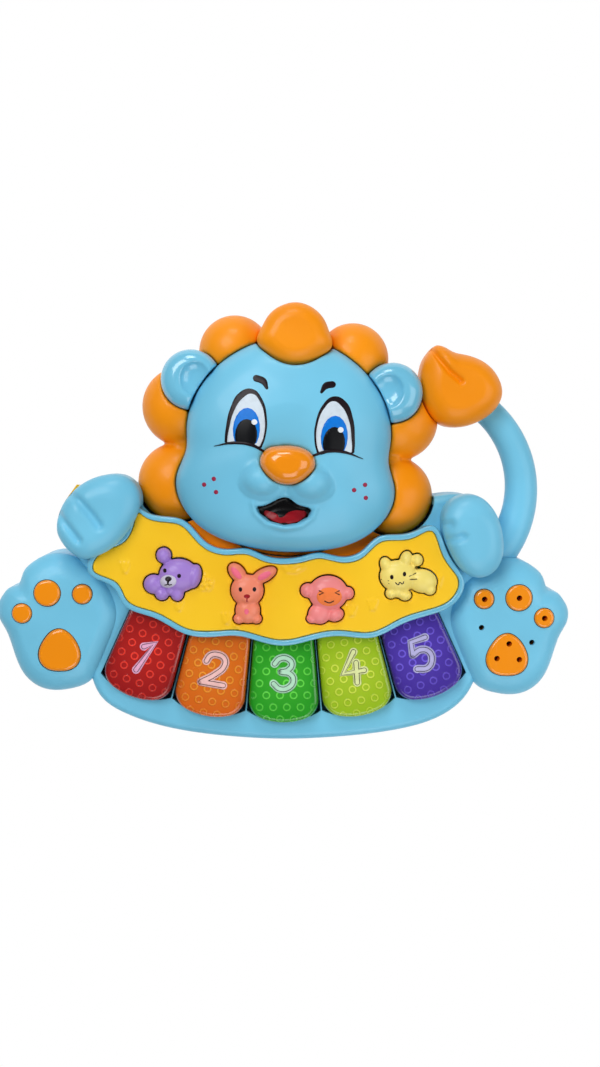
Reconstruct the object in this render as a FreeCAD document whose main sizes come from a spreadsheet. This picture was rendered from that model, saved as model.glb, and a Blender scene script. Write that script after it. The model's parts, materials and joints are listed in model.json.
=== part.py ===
import FreeCAD, Part
import math
import os
from FreeCAD import Vector, Rotation, Placement

# A lion-shaped toy piano that lies on its flat back. +X runs to the right of its face, +Y to the top of
# its head and +Z out of the face. The origin is on the flat back, in the middle of the body.

doc = FreeCAD.newDocument("LionPiano")

# ------------------------------------------------------------ driving dimensions, millimetres and degrees
DIMENSIONS = (
    # shells
    ("wall", 2.4), ("fit", 0.3), ("back_depth", 14), ("housing_depth", 16), ("back_round", 1.5),
    ("rim_round", 4.5), ("boss_radius", 3.4),
    # the five keys stand in a fan about one centre, each on its own pivot
    ("fan_centre_y", 130), ("fan_pitch", 9.95), ("key_half_angle", 4.72), ("key_end_radius", 239.6),
    ("key_rear_radius", 187), ("key_top", 36), ("key_height", 14), ("key_corner", 11), ("key_edge", 2.6),
    ("key_wall", 2.2), ("key_gap", 0.7), ("key_travel", 3.5), ("pivot_radius", 177), ("pivot_z", 26.5),
    ("pin_radius", 2), ("pin_play", 0.08), ("pin_reach", 3.4), ("tongue_width", 14),
    ("tongue_height", 6), ("bracket", 2.6), ("chassis_z", 16), ("chassis_width", 12),
    ("chassis_thickness", 3), ("board", 1.6), ("key_board_z", 9), ("main_board_z", 6), ("post_radius", 3), ("dome_rise", 2), ("dome_radius", 4.5),
    ("led_radius", 2.5), ("led_height", 5.2),
    # the body and its paws
    ("body_width", 232), ("body_top", 21.5), ("body_end", 119.6), ("paw_out", 3.5), ("paw_y", -57),
    ("paw_drop", 2.8), ("paw_width", 65.2), ("paw_length", 74.6), ("paw_rise", 22), ("paw_dome", 10.5),
    ("toe_big", 7), ("toe_small", 5.2), ("pad_width", 22.4), ("pad_length", 22.8), ("button_rise", 1.4),
    ("button_play", 0.35), ("button_travel", 2), ("flange", 1.5), ("flange_drop", 3.3), ("grille_hole", 1.5),
    # the song panel, its frame and its animal buttons
    ("frame_border", 3.1), ("frame_height", 5.3), ("frame_round", 1), ("panel_thickness", 2.6),
    ("panel_sink", 1), ("panel_board_z", 31), ("board_inner_radius", 161), ("animal_rise", 5.2),
    ("animal_gap", 0.5),
    # the head
    ("head_tilt", 3.7), ("head_y", 40), ("mane_floor", 12), ("mane_disc", 60), ("mane_rise", 24),
    ("lobe_big", 21.4), ("lobe_small", 19.2), ("face_width", 115.4), ("face_length", 112.7),
    ("face_side", 10), ("face_dome", 20), ("ear_radius", 15.8), ("ear_rise", 18), ("nose_width", 28.4),
    ("nose_length", 20), ("nose_height", 9), ("forelock_width", 39.2), ("forelock_length", 32.2),
    ("forelock_rise", 26), ("mouth_depth", 3),
    # the hands
    ("hand_side", 12), ("hand_dome", 9),
    # the tail handle and its tuft
    ("tail_low", 9.8), ("tail_high", 7.4), ("tail_z", 16), ("tuft_bottom", 16), ("tuft_side", 14),
    ("tuft_dome", 12),
    # speaker
    ("speaker_radius", 18), ("speaker_depth", 9), ("magnet_radius", 9), ("magnet_height", 5),
    # batteries and their door
    ("battery_radius", 7.1), ("battery_length", 50), ("battery_pitch", 15), ("battery_y", 47),
    ("door_thickness", 2), ("door_swing", 35), ("door_play", 0.4), ("knuckle_radius", 1.5),
    # the power switch
    ("knob_length", 12), ("knob_height", 5), ("knob_reach", 2.2), ("switch_travel", 3), ("switch_z", 21),
    ("slot_depth", 7.3),
    # screws
    ("screw_radius", 1.4), ("screw_head_radius", 2.8), ("screw_head", 1.8), ("screw_length", 14),
    ("screw_play", 0.25),
)

sheet = doc.addObject("Spreadsheet::Sheet", "Sizes")
for row, (alias, amount) in enumerate(DIMENSIONS, 1):
    sheet.set("A%d" % row, alias)
    sheet.set("B%d" % row, str(amount))
    sheet.setAlias("B%d" % row, alias)
doc.recompute()


class Size:
    """A value of the sheet, or a sum of some, together with the formula that binds a property to it."""

    def __init__(self, value, formula):
        self.value = float(value)
        self.formula = formula

    def __float__(self):
        return self.value

    def __add__(self, other):
        return joined(self, "+", other, self.value + float(other))

    def __sub__(self, other):
        return joined(self, "-", other, self.value - float(other))

    def __mul__(self, other):
        return joined(self, "*", other, self.value * float(other))

    def __truediv__(self, other):
        return joined(self, "/", other, self.value / float(other))

    def __rsub__(self, other):
        return joined(other, "-", self, float(other) - self.value)

    def __neg__(self):
        return self * -1

    __radd__ = __add__
    __rmul__ = __mul__


def formula_of(size):
    return size.formula if isinstance(size, Size) else repr(float(size))


def joined(left, sign, right, value):
    return Size(value, "(%s %s %s)" % (formula_of(left), sign, formula_of(right)))


class Values:
    """The sheet's sizes by name."""


S = Values()
for alias, amount in DIMENSIONS:
    setattr(S, alias, Size(amount, "Sizes." + alias))

# levels and places that several pieces share
SPLIT = S.back_depth
DECK = SPLIT + S.housing_depth
UNDER_DECK = DECK - S.wall
FRAME_BASE = S.key_top + S.key_gap
FRAME_TOP = FRAME_BASE + S.frame_height
PANEL_TOP = FRAME_TOP - S.panel_sink
PANEL_UNDER = PANEL_TOP - S.panel_thickness
RECESS = SPLIT + S.mane_floor
PAW_SHOULDER = SPLIT + S.paw_rise - S.paw_dome
PAW_TOP = SPLIT + S.paw_rise
PAW_UNDER = PAW_TOP - S.wall
PAW_X = S.body_width / 2 + S.paw_out
MANE_TOP = SPLIT + S.mane_rise
KEY_BOARD_TOP = S.key_board_z + S.board
PANEL_BOARD_TOP = S.panel_board_z + S.board
DOOR_LENGTH = S.battery_length + 9
DOOR_WIDTH = S.battery_pitch * 3 + 3


# ------------------------------------------------------------------------------------------------ outlines
def drawn(points, width, length):
    """The outline stretched from its drawn extents to a width and a length, its own origin kept."""
    across = [x for x, y in points]
    along = [y for x, y in points]
    wide = float(width) / (max(across) - min(across))
    high = float(length) / (max(along) - min(along))
    return [(x * wide, y * high) for x, y in points]


def both_sides(half):
    """A whole outline from its right half, listed from the top to the bottom of the middle line."""
    return [(-x, y) for x, y in half[1:-1]] + [(x, y) for x, y in reversed(half)]


def moved(points, x=0, y=0, flip=1):
    return [(flip * px + float(x), py + float(y)) for px, py in points]


def grown(points, amount):
    """The outline pushed outwards by an amount, or inwards where it is negative."""
    count = len(points)
    pairs = [(points[i], points[(i + 1) % count]) for i in range(count)]
    turning = sum(a[0] * b[1] - b[0] * a[1] for a, b in pairs)
    side = float(amount) * math.copysign(1, turning)
    result = []
    for i, (x, y) in enumerate(points):
        before = points[i - 1]
        after = points[(i + 1) % count]
        dx = after[0] - before[0]
        dy = after[1] - before[1]
        length = math.hypot(dx, dy)
        result.append((x + side * dy / length, y - side * dx / length))
    return result


def scaled(points, factor, x=0, y=0):
    return [(float(x) + (px - float(x)) * factor, float(y) + (py - float(y)) * factor) for px, py in points]


def spline(points):
    curve = Part.BSplineCurve()
    curve.interpolate(Points=[Vector(x, y, 0) for x, y in points], PeriodicFlag=True)
    return curve


def circle(radius, x=0, y=0):
    return Part.Circle(Vector(float(x), float(y), 0), Vector(0, 0, 1), float(radius))


def polygon(points):
    corners = [Vector(float(x), float(y), 0) for x, y in points]
    return [Part.LineSegment(a, b) for a, b in zip(corners, corners[1:] + corners[:1])]


def rectangle(width, length, x=0, y=0):
    right = float(width) / 2
    up = float(length) / 2
    corners = ((-right, -up), (right, -up), (right, up), (-right, up))
    return polygon([(cx + float(x), cy + float(y)) for cx, cy in corners])


def polar(radius, degrees):
    """A point of the fan: degrees are counted from the middle key, towards +X."""
    angle = math.radians(float(degrees))
    return float(radius) * math.sin(angle), -float(radius) * math.cos(angle)


def sector(inner, outer, half_angle, middle=0.0):
    """A closed ring sector of the fan, about the fan's own centre."""
    turns = [middle - float(half_angle), middle, middle + float(half_angle)]
    near = [Vector(*polar(inner, turn), 0) for turn in turns]
    far = [Vector(*polar(outer, turn), 0) for turn in turns]
    return [Part.Arc(*near), Part.LineSegment(near[2], far[2]), Part.Arc(*reversed(far)),
            Part.LineSegment(far[0], near[0])]


def body_outline():
    return drawn((
        (-93, 20.5), (-104, 17.5), (-113, 8), (-116, -4), (-112, -16), (-106, -30), (-106, -60),
        (-104, -82), (-98.5, -96), (-84, -106), (-62, -113.2), (-30, -118), (0, -119.6), (30, -118.4),
        (64, -114), (85, -107), (97.5, -97), (104, -84), (106, -60), (106, -38), (113, -22), (114.5, -10),
        (110, 4), (100, 11.5), (82, 12), (40, 0), (0, -6), (-40, 2), (-76, 17)),
        S.body_width, S.body_top + S.body_end)


def paw_outline(side=-1):
    """A paw with three toe bulges, about its middle; side is -1 on the left and 1 on the right."""
    left = drawn((
        (10.1, 35.1), (-0.1, 38.4), (-8.3, 37.3), (-15.3, 33.5), (-20.3, 28.1), (-23.6, 21.2),
        (-27.5, 19.9), (-31.4, 16.1), (-34.2, 10.1), (-33.6, 3.5), (-30.7, -2), (-28, -8.6),
        (-26, -15.2), (-20.3, -27.9), (-15, -32.9), (-8.5, -35.7), (-1.4, -36.2), (5.7, -35.1),
        (13.9, -31.8), (20, -24), (26.1, -10), (31, 6), (28, 18.4), (22, 27)), S.paw_width, S.paw_length)
    return moved(left, side * float(PAW_X), paw_middle(side), -side)


def paw_middle(side):
    return float(S.paw_y) - (float(S.paw_drop) if side > 0 else 0)


def pad_outline():
    half = ((0, 11.4), (5.6, 8.8), (9.8, 2.8), (11.2, -2.6), (9.4, -8), (4.8, -10.9), (0, -11.4))
    return drawn(both_sides(half), S.pad_width, S.pad_length)


def song_outline():
    """The wavy song sheet that the lion holds up."""
    return [
        (-74.5, 3.6), (-64.2, -0.8), (-53.5, -2.8), (-48.5, -7.5), (-41.5, -14.6), (-29, -18.3),
        (-19.5, -18), (-11, -21.4), (1, -23.2), (10.5, -22), (18, -20.2), (30, -22.3), (42, -19.4),
        (51, -11.6), (61, -10.6), (69, -9), (77.6, -5.7), (82, -14.3), (87.2, -24.3), (92.2, -32.2),
        (87.4, -42.5), (78, -46.8), (61.5, -52.2), (46.5, -59.2), (30, -58.3), (14, -60.6), (0, -63.4),
        (-13.4, -60.8), (-23, -58.3), (-36, -58.6), (-50, -57.6), (-67.3, -48.6), (-82.5, -41.8),
        (-87.5, -33), (-100, -25.5), (-98, -19.5), (-86, -13), (-78.5, -3)]


def face_outline():
    half = (
        (0, 55.5), (19, 51.5), (37.8, 39.8), (49.6, 23.7), (53.9, 4), (53.4, -5.5), (57.9, -21),
        (52.8, -37.7), (40.6, -48.7), (18, -55.8), (0, -57.2))
    return moved(drawn(both_sides(half), S.face_width, S.face_length), 0, S.head_y)


def forelock_outline():
    half = (
        (0, 16.1), (9.8, 12.9), (14.8, 7.9), (17.8, 1.6), (19.6, -4.6), (14.8, -10.2), (8, -14.4), (0, -16.1))
    return moved(drawn(both_sides(half), S.forelock_width, S.forelock_length), 0, S.head_y + 56.6)


def ear_outline(side):
    centre_x = side * 52.8
    centre_y = float(S.head_y) + 30
    turns = [math.radians(30 * step) for step in range(12)]
    radius = float(S.ear_radius)
    return [(centre_x + radius * math.cos(t), centre_y + radius * math.sin(t)) for t in turns]


HANDS = {
    -1: ((-96.5, 2), (
        (-21.8, -5.8), (-19.5, 4.2), (-13.1, 13.2), (-4, 19.5), (5.4, 22.1), (13.3, 21.6), (19, 17.9),
        (22.1, 11), (21.5, 3.1), (18.8, -3.2), (13.9, -10.1), (7.5, -16.4), (-0.4, -20.7), (-6.8, -22.3),
        (-14.1, -19.1), (-19.3, -13.2))),
    1: ((99, -8.5), (
        (-16, 8.4), (-14.5, 14.7), (-10.3, 19.5), (-5.1, 21.6), (-0.9, 22.1), (4.4, 20.5), (9.7, 15.8),
        (13.5, 9.4), (15.7, 2), (16.4, -6.4), (14.9, -13.9), (10.2, -19.7), (3.9, -21.8), (-3, -19.7),
        (-8.4, -14.4), (-12.7, -6.4), (-15.4, 1.5))),
}


def hand_outline(side):
    (x, y), points = HANDS[side]
    return moved(points, x, y)


def tuft_outline():
    """The leaf-shaped tuft at the tail's end, in the head's frame."""
    return [
        (81.5, 91.8), (85.5, 90.6), (89.5, 88.3), (95, 87), (102, 85), (107.5, 82), (112, 77.5),
        (115, 72), (116, 66.5), (114.6, 61.5), (111, 56.6), (106, 52.8), (100.5, 50.2), (93, 48.5),
        (86, 49.2), (80.5, 52), (75.5, 58), (72.6, 67), (72.5, 77), (74.5, 84.5), (78, 89.5)]


# ------------------------------------------------------------------------------------- document operations
def bind(thing, path, size):
    thing.setExpression(path, formula_of(size))


def place(thing, x=0, y=0, z=0, turn=0, axis=Vector(0, 0, 1)):
    thing.Placement = Placement(Vector(0, 0, 0), Rotation(axis, 1))
    bind(thing, "Placement.Base.x", x)
    bind(thing, "Placement.Base.y", y)
    bind(thing, "Placement.Base.z", z)
    bind(thing, "Placement.Rotation.Angle", turn)
    return thing


def body(label, x=0, y=0, z=0, turn=0):
    thing = doc.addObject("PartDesign::Body", label)
    thing.Label = label
    return place(thing, x, y, z, turn)


def origin_part(thing, role):
    return next(item for item in thing.Origin.OriginFeatures if item.Role == role)


def sketch(thing, curves, level=0, plane="XY_Plane"):
    drawing = thing.newObject("Sketcher::SketchObject", thing.Name + "_sketch")
    drawing.AttachmentSupport = [(origin_part(thing, plane), "")]
    drawing.MapMode = "FlatFace"
    bind(drawing, "AttachmentOffset.Base.z", level)
    for curve in curves:
        drawing.addGeometry(curve, False)
    return drawing


def pad(thing, curves, level, length, plane="XY_Plane"):
    feature = thing.newObject("PartDesign::Pad", thing.Name + "_pad")
    feature.Profile = sketch(thing, curves, level, plane)
    bind(feature, "Length", length)
    return feature


def pocket(thing, curves, level, length, plane="XY_Plane"):
    """Cuts from a level of the body along the plane's normal."""
    doc.recompute()
    before = thing.Shape.Volume
    feature = thing.newObject("PartDesign::Pocket", thing.Name + "_pocket")
    feature.Profile = sketch(thing, curves, level, plane)
    feature.Reversed = True
    bind(feature, "Length", length)
    doc.recompute()
    if thing.Shape.Volume >= before:
        raise ValueError("a pocket of %s cuts nothing" % thing.Label)
    return feature


def loft(thing, rings, kind="PartDesign::AdditiveLoft"):
    """A skin over closed outlines, each with its level."""
    feature = thing.newObject(kind, thing.Name + "_loft")
    drawings = [sketch(thing, [spline(points)], level) for level, points in rings]
    feature.Profile = drawings[0]
    feature.Sections = drawings[1:]
    return feature


def dome_rings(points, level, height, spread, x, y, steps=3):
    """The outline at growing levels, drawn in towards a middle as on a low dome."""
    last = math.radians(78)
    rings = []
    for step in range(steps + 1):
        angle = last * step / steps
        rise = height * (math.sin(angle) / math.sin(last))
        rings.append((level + rise, scaled(points, 1 - spread * (1 - math.cos(angle)), x, y)))
    return rings


def pillow(thing, points, bottom, shoulder, height, spread, x, y):
    """A wall that rises straight to its shoulder and closes over as a dome."""
    pad(thing, [spline(points)], bottom, shoulder - bottom)
    loft(thing, dome_rings(points, shoulder, height, spread, x, y))


def fillet(thing, radius, choose):
    """Rounds the edges of a body that the test picks."""
    doc.recompute()
    base = thing.Tip
    names = ["Edge%d" % n for n, edge in enumerate(base.Shape.Edges, 1) if choose(edge)]
    if not names:
        raise ValueError("no edge of %s to round" % thing.Label)
    feature = thing.newObject("PartDesign::Fillet", thing.Name + "_fillet")
    feature.Base = (base, names)
    bind(feature, "Radius", radius)
    return feature


def at_level(level):
    return lambda edge: all(abs(v.Z - float(level)) < 1e-4 for v in edge.Vertexes) and abs(
        edge.CenterOfMass.z - float(level)) < 1e-3


def prism(name, points, level, length, turn=0):
    """A straight-sided block over a closed outline."""
    drawing = doc.addObject("Sketcher::SketchObject", name + "_outline")
    drawing.addGeometry(spline(points), False)
    place(drawing, 0, 0, level, turn)
    block = doc.addObject("Part::Extrusion", name)
    block.Base = drawing
    block.DirMode = "Custom"
    block.Dir = Vector(0, 0, 1)
    block.Solid = True
    bind(block, "LengthFwd", length)
    return block


def cylinder(name, radius, height, x=0, y=0, z=0, turn=0, axis=Vector(0, 0, 1)):
    rod = doc.addObject("Part::Cylinder", name)
    bind(rod, "Radius", radius)
    bind(rod, "Height", height)
    return place(rod, x, y, z, turn, axis)


def box(name, length, width, height, x=0, y=0, z=0):
    """A block centred on x and y that stands on z."""
    block = doc.addObject("Part::Box", name)
    bind(block, "Length", length)
    bind(block, "Width", width)
    bind(block, "Height", height)
    return place(block, x - length / 2, y - width / 2, z)


def ellipsoid(name, across, along, deep, x=0, y=0, z=0, turn=0):
    egg = doc.addObject("Part::Ellipsoid", name)
    bind(egg, "Radius2", across)
    bind(egg, "Radius3", along)
    bind(egg, "Radius1", deep)
    return place(egg, x, y, z, turn)


def joint(kind, label, shapes):
    result = doc.addObject(kind, label)
    result.Label = label
    result.Shapes = shapes
    result.Refine = False
    return result


def fuse(label, *shapes):
    return joint("Part::MultiFuse", label, list(shapes))


def cut(label, base, *tools):
    result = doc.addObject("Part::Cut", label)
    base.Label = base.Label + "_blank" if base.Label == label else base.Label
    result.Label = label
    result.Base = base
    result.Tool = tools[0] if len(tools) == 1 else fuse(label + "_tools", *tools)
    return result


def group(label, *shapes):
    """Several separate solids of one kind in one node."""
    result = doc.addObject("Part::Compound", label)
    result.Label = label
    result.Links = list(shapes)
    return result


# ------------------------------------------------------------------------------------------- shared places
KEYS = ("red_key", "orange_key", "green_key", "yellow_key", "purple_key")
KEY_BOTTOM = S.key_top - S.key_height
PLUNGER_RADIUS = 205
PAW_FLANGE_TOP = PAW_UNDER - S.flange_drop
PAW_BOARD_TOP = PAW_FLANGE_TOP - S.flange - S.button_travel - 0.3 - S.dome_rise
MAIN_BOARD = (-61, -18)
LOBES = ((31.5, 47, "small"), (58, 16, "big"), (58, -24.5, "big"))
SHELL_SCREWS = ((-83.1, -99.7), (83.1, -99.7), (-31, -27), (31, -27), (-97, 2), (98, -9))
HEAD_SCREWS = ((-45, 50), (45, 50), (-34, 7), (34, 7))
BATTERY_FLOOR = S.door_thickness + 0.25
BATTERY_MIDDLE = BATTERY_FLOOR + S.battery_radius
BATTERY_TOP = BATTERY_FLOOR + S.battery_radius * 2 + 0.4
DOOR_LOW = S.battery_y - DOOR_LENGTH / 2 - 10
HINGE_Y = S.battery_y + DOOR_LENGTH / 2 + S.wall + S.knuckle_radius
HINGE_Z = S.knuckle_radius + 0.3


def lobes(shrink=0):
    """Centre and radius of each mane lobe, about the head's own axis."""
    radii = {"small": S.lobe_small, "big": S.lobe_big}
    return [(side * x, S.head_y + y, radii[size] - shrink) for x, y, size in LOBES for side in (-1, 1)]


def mane_print(name, bottom, height):
    """The mane's footprint with its fit, as a block."""
    blocks = [cylinder(name + "_disc", S.mane_disc + S.fit, height, 0, 0, 0)]
    blocks[0] = place(blocks[0], tilted(0, S.head_y)[0], tilted(0, S.head_y)[1], bottom)
    for index, (x, y, radius) in enumerate(lobes(-S.fit)):
        along, up = tilted(x, y)
        blocks.append(cylinder("%s_lobe%d" % (name, index), radius, height, along, up, bottom))
    return fuse(name, *blocks)


def tilted(x, y):
    """A point of the head's frame in the body's frame."""
    turn = math.radians(-float(S.head_tilt))
    along = float(x) * math.cos(turn) - float(y) * math.sin(turn)
    up = float(x) * math.sin(turn) + float(y) * math.cos(turn)
    return along, up


# ------------------------------------------------------------------------------------------------ the back
def make_back_cover():
    shell = body("back_cover_blank")
    head = tilted(0, S.head_y)
    for outline in (body_outline(), paw_outline(-1), paw_outline(1), grown(tuft_outline(), -2)):
        pad(shell, [spline(outline)], 0, SPLIT)
    pad(shell, [circle(S.mane_disc - 3, *head)], 0, SPLIT)
    for x, y, radius in lobes(3):
        pad(shell, [circle(radius, *tilted(x, y))], 0, SPLIT)
    fillet(shell, S.back_round, at_level(0))
    for outline in (body_outline(), paw_outline(-1), paw_outline(1)):
        pocket(shell, [spline(grown(outline, -S.wall - 0.6))], S.wall, SPLIT - S.wall)
    pocket(shell, [circle(S.mane_disc - 3 - S.wall, *head)], S.wall, SPLIT - S.wall)
    # battery box, opened again from the back by the door's recess
    pad(shell, rectangle(DOOR_WIDTH + S.wall * 2, DOOR_LENGTH + S.wall * 2, 0, S.battery_y), 0 * S.wall,
        BATTERY_TOP + S.wall)
    screw_y = DOOR_LOW + 4.5
    pad(shell, rectangle(14, 14, 0, screw_y + 1), 0, 9)
    pad(shell, rectangle(DOOR_WIDTH + S.wall * 2, S.knuckle_radius * 2 + S.wall + 2, 0, HINGE_Y), 0 * S.wall,
        S.knuckle_radius * 2 + S.wall + 1)
    pocket(shell, rectangle(DOOR_WIDTH, DOOR_LENGTH, 0, S.battery_y), 0, BATTERY_TOP)
    for level, places in board_posts():
        pad(shell, [circle(S.post_radius, x, y) for x, y in places], 0, level)
    places = boss_places()
    pad(shell, [circle(S.boss_radius, x, y) for x, y in places], 0, SPLIT)
    pocket(shell, [circle(S.screw_head_radius + S.screw_play, x, y) for x, y in places], 0, 3 + S.screw_head)
    pocket(shell, [circle(S.screw_radius + S.screw_play, x, y) for x, y in places], 0, SPLIT)
    recess = box("door_recess", DOOR_WIDTH + S.door_play * 2 + 3, HINGE_Y - DOOR_LOW + S.door_play + 2.4,
                 S.door_thickness + 0.05, 0, (HINGE_Y + DOOR_LOW - S.door_play + 2.4) / 2, 0)
    groove = box("hinge_groove", DOOR_WIDTH + S.door_play * 2 - 8, S.knuckle_radius * 2 + 1,
                 S.knuckle_radius * 2 + 0.8, 0, HINGE_Y, 0)
    pin_hole = cylinder("pin_hole", 1 + S.pin_play, DOOR_WIDTH, DOOR_WIDTH / -2, HINGE_Y, HINGE_Z, 90,
                        Vector(0, 1, 0))
    boss_hole = cylinder("door_boss_hole", 4.7, 4.3, 0, screw_y, 0)
    screw_hole = cylinder("door_screw_hole", S.screw_radius + 0.6, 9, 0, screw_y, 0)
    cut("back_cover", shell, recess, groove, pin_hole, boss_hole, screw_hole)


def boss_places():
    places = list(SHELL_SCREWS) + [tilted(x, y) for x, y in HEAD_SCREWS]
    return places + paw_bosses(-1) + paw_bosses(1)


def screw_ways(places):
    """What clears the housing where a screw comes up from the back cover."""
    return [cylinder("screw_way", S.screw_radius + S.pin_play, S.screw_length, x, y, SPLIT - 1) for x, y in places]


def paw_bosses(side):
    return [(side * (float(PAW_X) - inward), paw_middle(side) + along) for inward, along in ((10, 31), (8, -30.5))]


def board_posts():
    """The back cover's posts, by the level of the board that rests on them."""
    fan = [polar(PLUNGER_RADIUS + 2, S.fan_pitch * step) for step in (-1.5, -0.5, 0.5, 1.5)]
    x, y = MAIN_BOARD
    return ((S.key_board_z, [(px, py + float(S.fan_centre_y)) for px, py in fan]),
            (S.main_board_z, [(x + 21 * across, y + 10 * along) for across in (-1, 1) for along in (-1, 1)]),
            (PAW_BOARD_TOP - S.board, [paw_spot(-1, *spot) for spot in ((-15, 2), (14, 3), (0, -25))]))


def make_battery_parts():
    panel = body("battery_door_blank")
    length = HINGE_Y - DOOR_LOW
    middle = (HINGE_Y + DOOR_LOW) / 2
    pad(panel, rectangle(DOOR_WIDTH + 3, length, 0, middle), 0, S.door_thickness)
    screw_y = DOOR_LOW + 4.5
    pad(panel, [circle(4.2, 0, screw_y)], 0, 4)
    pocket(panel, [circle(S.screw_head_radius + S.screw_play, 0, screw_y)], 0, S.screw_head + 0.4)
    pocket(panel, [circle(S.screw_radius + S.screw_play, 0, screw_y)], 0, 4)
    knuckle = cylinder("door_knuckle", S.knuckle_radius, DOOR_WIDTH - 8.4, (DOOR_WIDTH - 8.4) / -2, HINGE_Y,
                       HINGE_Z, 90, Vector(0, 1, 0))
    pin = cylinder("door_pin", 1, DOOR_WIDTH - 4, (DOOR_WIDTH - 4) / -2, HINGE_Y, HINGE_Z, 90,
                   Vector(0, 1, 0))
    fuse("battery_door", panel, knuckle, pin)
    group("battery_door_screw", screw("door_screw", 0, screw_y, 0.3, 7))
    cells, contacts = [], []
    for index in (-1, 0, 1):
        x = S.battery_pitch * index
        start = S.battery_y - S.battery_length / 2
        turned = -90 if index else 90
        foot = start if index else S.battery_y + S.battery_length / 2
        can = cylinder("cell_can", S.battery_radius, S.battery_length - 1.4, x, foot, BATTERY_MIDDLE, turned,
                       Vector(1, 0, 0))
        nub = cylinder("cell_nub", 2.7, S.battery_length, x, foot, BATTERY_MIDDLE, turned, Vector(1, 0, 0))
        cells.append(fuse("cell", can, nub))
        for end in (-1, 1):
            y = S.battery_y + (DOOR_LENGTH / 2 - 0.4) * end
            plate = box("contact_plate", 11, 0.6, 11, x, y, S.door_thickness + 1.4)
            spring = box("contact_leaf", 4, 3.2, 0.6, x, y - 2 * end, BATTERY_MIDDLE)
            contacts.append(fuse("contact", plate, spring))
    group("batteries", *cells)
    group("battery_contacts", *contacts)


def screw(name, x, y, z, length):
    """A pan-head screw whose head lies lowest."""
    head = cylinder(name + "_head", S.screw_head_radius, S.screw_head, x, y, z)
    shank = cylinder(name + "_shank", S.screw_radius, length, x, y, z)
    return fuse(name, head, shank)


# --------------------------------------------------------------------------------------------- the housing
def key_outline(grow=0.0):
    """Two sides that meet in the fan's centre, a bowed front edge and a straight rear one."""
    slope = math.tan(math.radians(float(S.key_half_angle)))
    spread = float(grow) / math.cos(math.radians(float(S.key_half_angle)))
    rear = float(S.key_rear_radius) - float(grow)
    side_end = float(S.key_end_radius) - 6 + float(grow) * 0.7
    front = float(S.key_end_radius) + float(grow)
    corners = [Vector(-rear * slope - spread, -rear, 0), Vector(-side_end * slope - spread, -side_end, 0),
               Vector(side_end * slope + spread, -side_end, 0), Vector(rear * slope + spread, -rear, 0)]
    return [Part.LineSegment(corners[0], corners[1]),
            Part.Arc(corners[1], Vector(0, -front, 0), corners[2]),
            Part.LineSegment(corners[2], corners[3]),
            Part.LineSegment(corners[3], corners[0])]


def fan_body(label, turn):
    return body(label, 0, S.fan_centre_y, 0, turn)


def fan_pattern(thing, features):
    """Repeats features of a body for each of the five keys."""
    pattern = thing.newObject("PartDesign::PolarPattern", thing.Name + "_fan")
    pattern.Originals = features
    pattern.Axis = (origin_part(thing, "Z_Axis"), [""])
    bind(pattern, "Angle", S.fan_pitch * 4)
    pattern.Occurrences = 5
    thing.Tip = pattern
    return pattern


def make_key_bays():
    bays = fan_body("key_bays", S.fan_pitch * -2)
    well = pad(bays, key_outline(S.key_gap), SPLIT - 1, S.housing_depth + 30)
    slot = pad(bays, rectangle(S.tongue_width + S.pin_reach * 2 + 2, 22, 0, -S.key_rear_radius + 8),
               SPLIT - 1, S.housing_depth + 1.5)
    fan_pattern(bays, [well, slot])
    return bays


def make_paw_block(name, side, inset, drop):
    """A paw as a block with a domed top, or the room inside one."""
    block = body(name)
    middle = (side * float(PAW_X), paw_middle(side))
    outline = grown(paw_outline(side), -inset)
    pillow(block, outline, SPLIT - drop * 0.01, PAW_SHOULDER - drop, S.paw_dome, 0.42, *middle)
    return block


def make_housing():
    tray = body("housing_tray")
    pad(tray, [spline(body_outline())], SPLIT, S.housing_depth)
    pocket(tray, [spline(grown(body_outline(), -S.wall - 2))], SPLIT, S.housing_depth - S.wall)
    fillet(tray, S.rim_round, housing_rim)
    pad(tray, [spline(grown(song_outline(), S.frame_border - 0.4))], DECK - 1, FRAME_BASE - DECK + 1)
    pocket(tray, [spline(grown(song_outline(), -2))], DECK, FRAME_BASE - DECK)
    pocket(tray, [circle(S.screw_head_radius + 0.6, x, y) for x, y in panel_posts()], UNDER_DECK, S.wall)
    tools = [make_key_bays(), mane_print("mane_gap", SPLIT - 1, FRAME_TOP - SPLIT),
             prism("face_gap", grown(face_outline(), S.fit), SPLIT - 1, FRAME_TOP - SPLIT, -S.head_tilt)]
    for side in (-1, 1):
        tools.append(prism("paw_gap", grown(paw_outline(side), -S.wall - 0.4), SPLIT - 1, PAW_TOP - SPLIT))
    shell = cut("housing_shell", tray, *tools, *switch_opening(), *screw_ways(shell_bosses()))
    paws = []
    for side, name in ((-1, "left_paw"), (1, "right_paw")):
        room = make_paw_block(name + "_room", side, S.wall + 0.6, S.wall)
        paws.append(cut(name + "_shell", make_paw_block(name, side, 0, 0), room, *paw_openings(side)))
    bosses = body("housing_bosses")
    rings = []
    for x, y in shell_bosses():
        rings += [circle(S.boss_radius, x, y), circle(S.screw_radius + S.pin_play, x, y)]
    pad(bosses, rings, SPLIT, S.housing_depth - S.wall + 0.6)
    fuse("base_housing", shell, *paws, bosses)


def housing_rim(edge):
    return at_level(DECK)(edge) and edge.Length > 600


def shell_bosses():
    return [place for place in boss_places() if math.hypot(place[0], place[1] - float(S.head_y)) > 62]


PAW_TOES = ((-5.7, 18, "toe_big"), (12.8, 17.4, "toe_small"), (-19.3, 7.2, "toe_small"))
PAW_PAD = (0.2, -12.5)


def paw_spot(side, x, y):
    return -side * x + side * float(PAW_X), paw_middle(side) + y


def toe_places(side):
    return [paw_spot(side, x, y) + (getattr(S, size),) for x, y, size in PAW_TOES]


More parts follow.
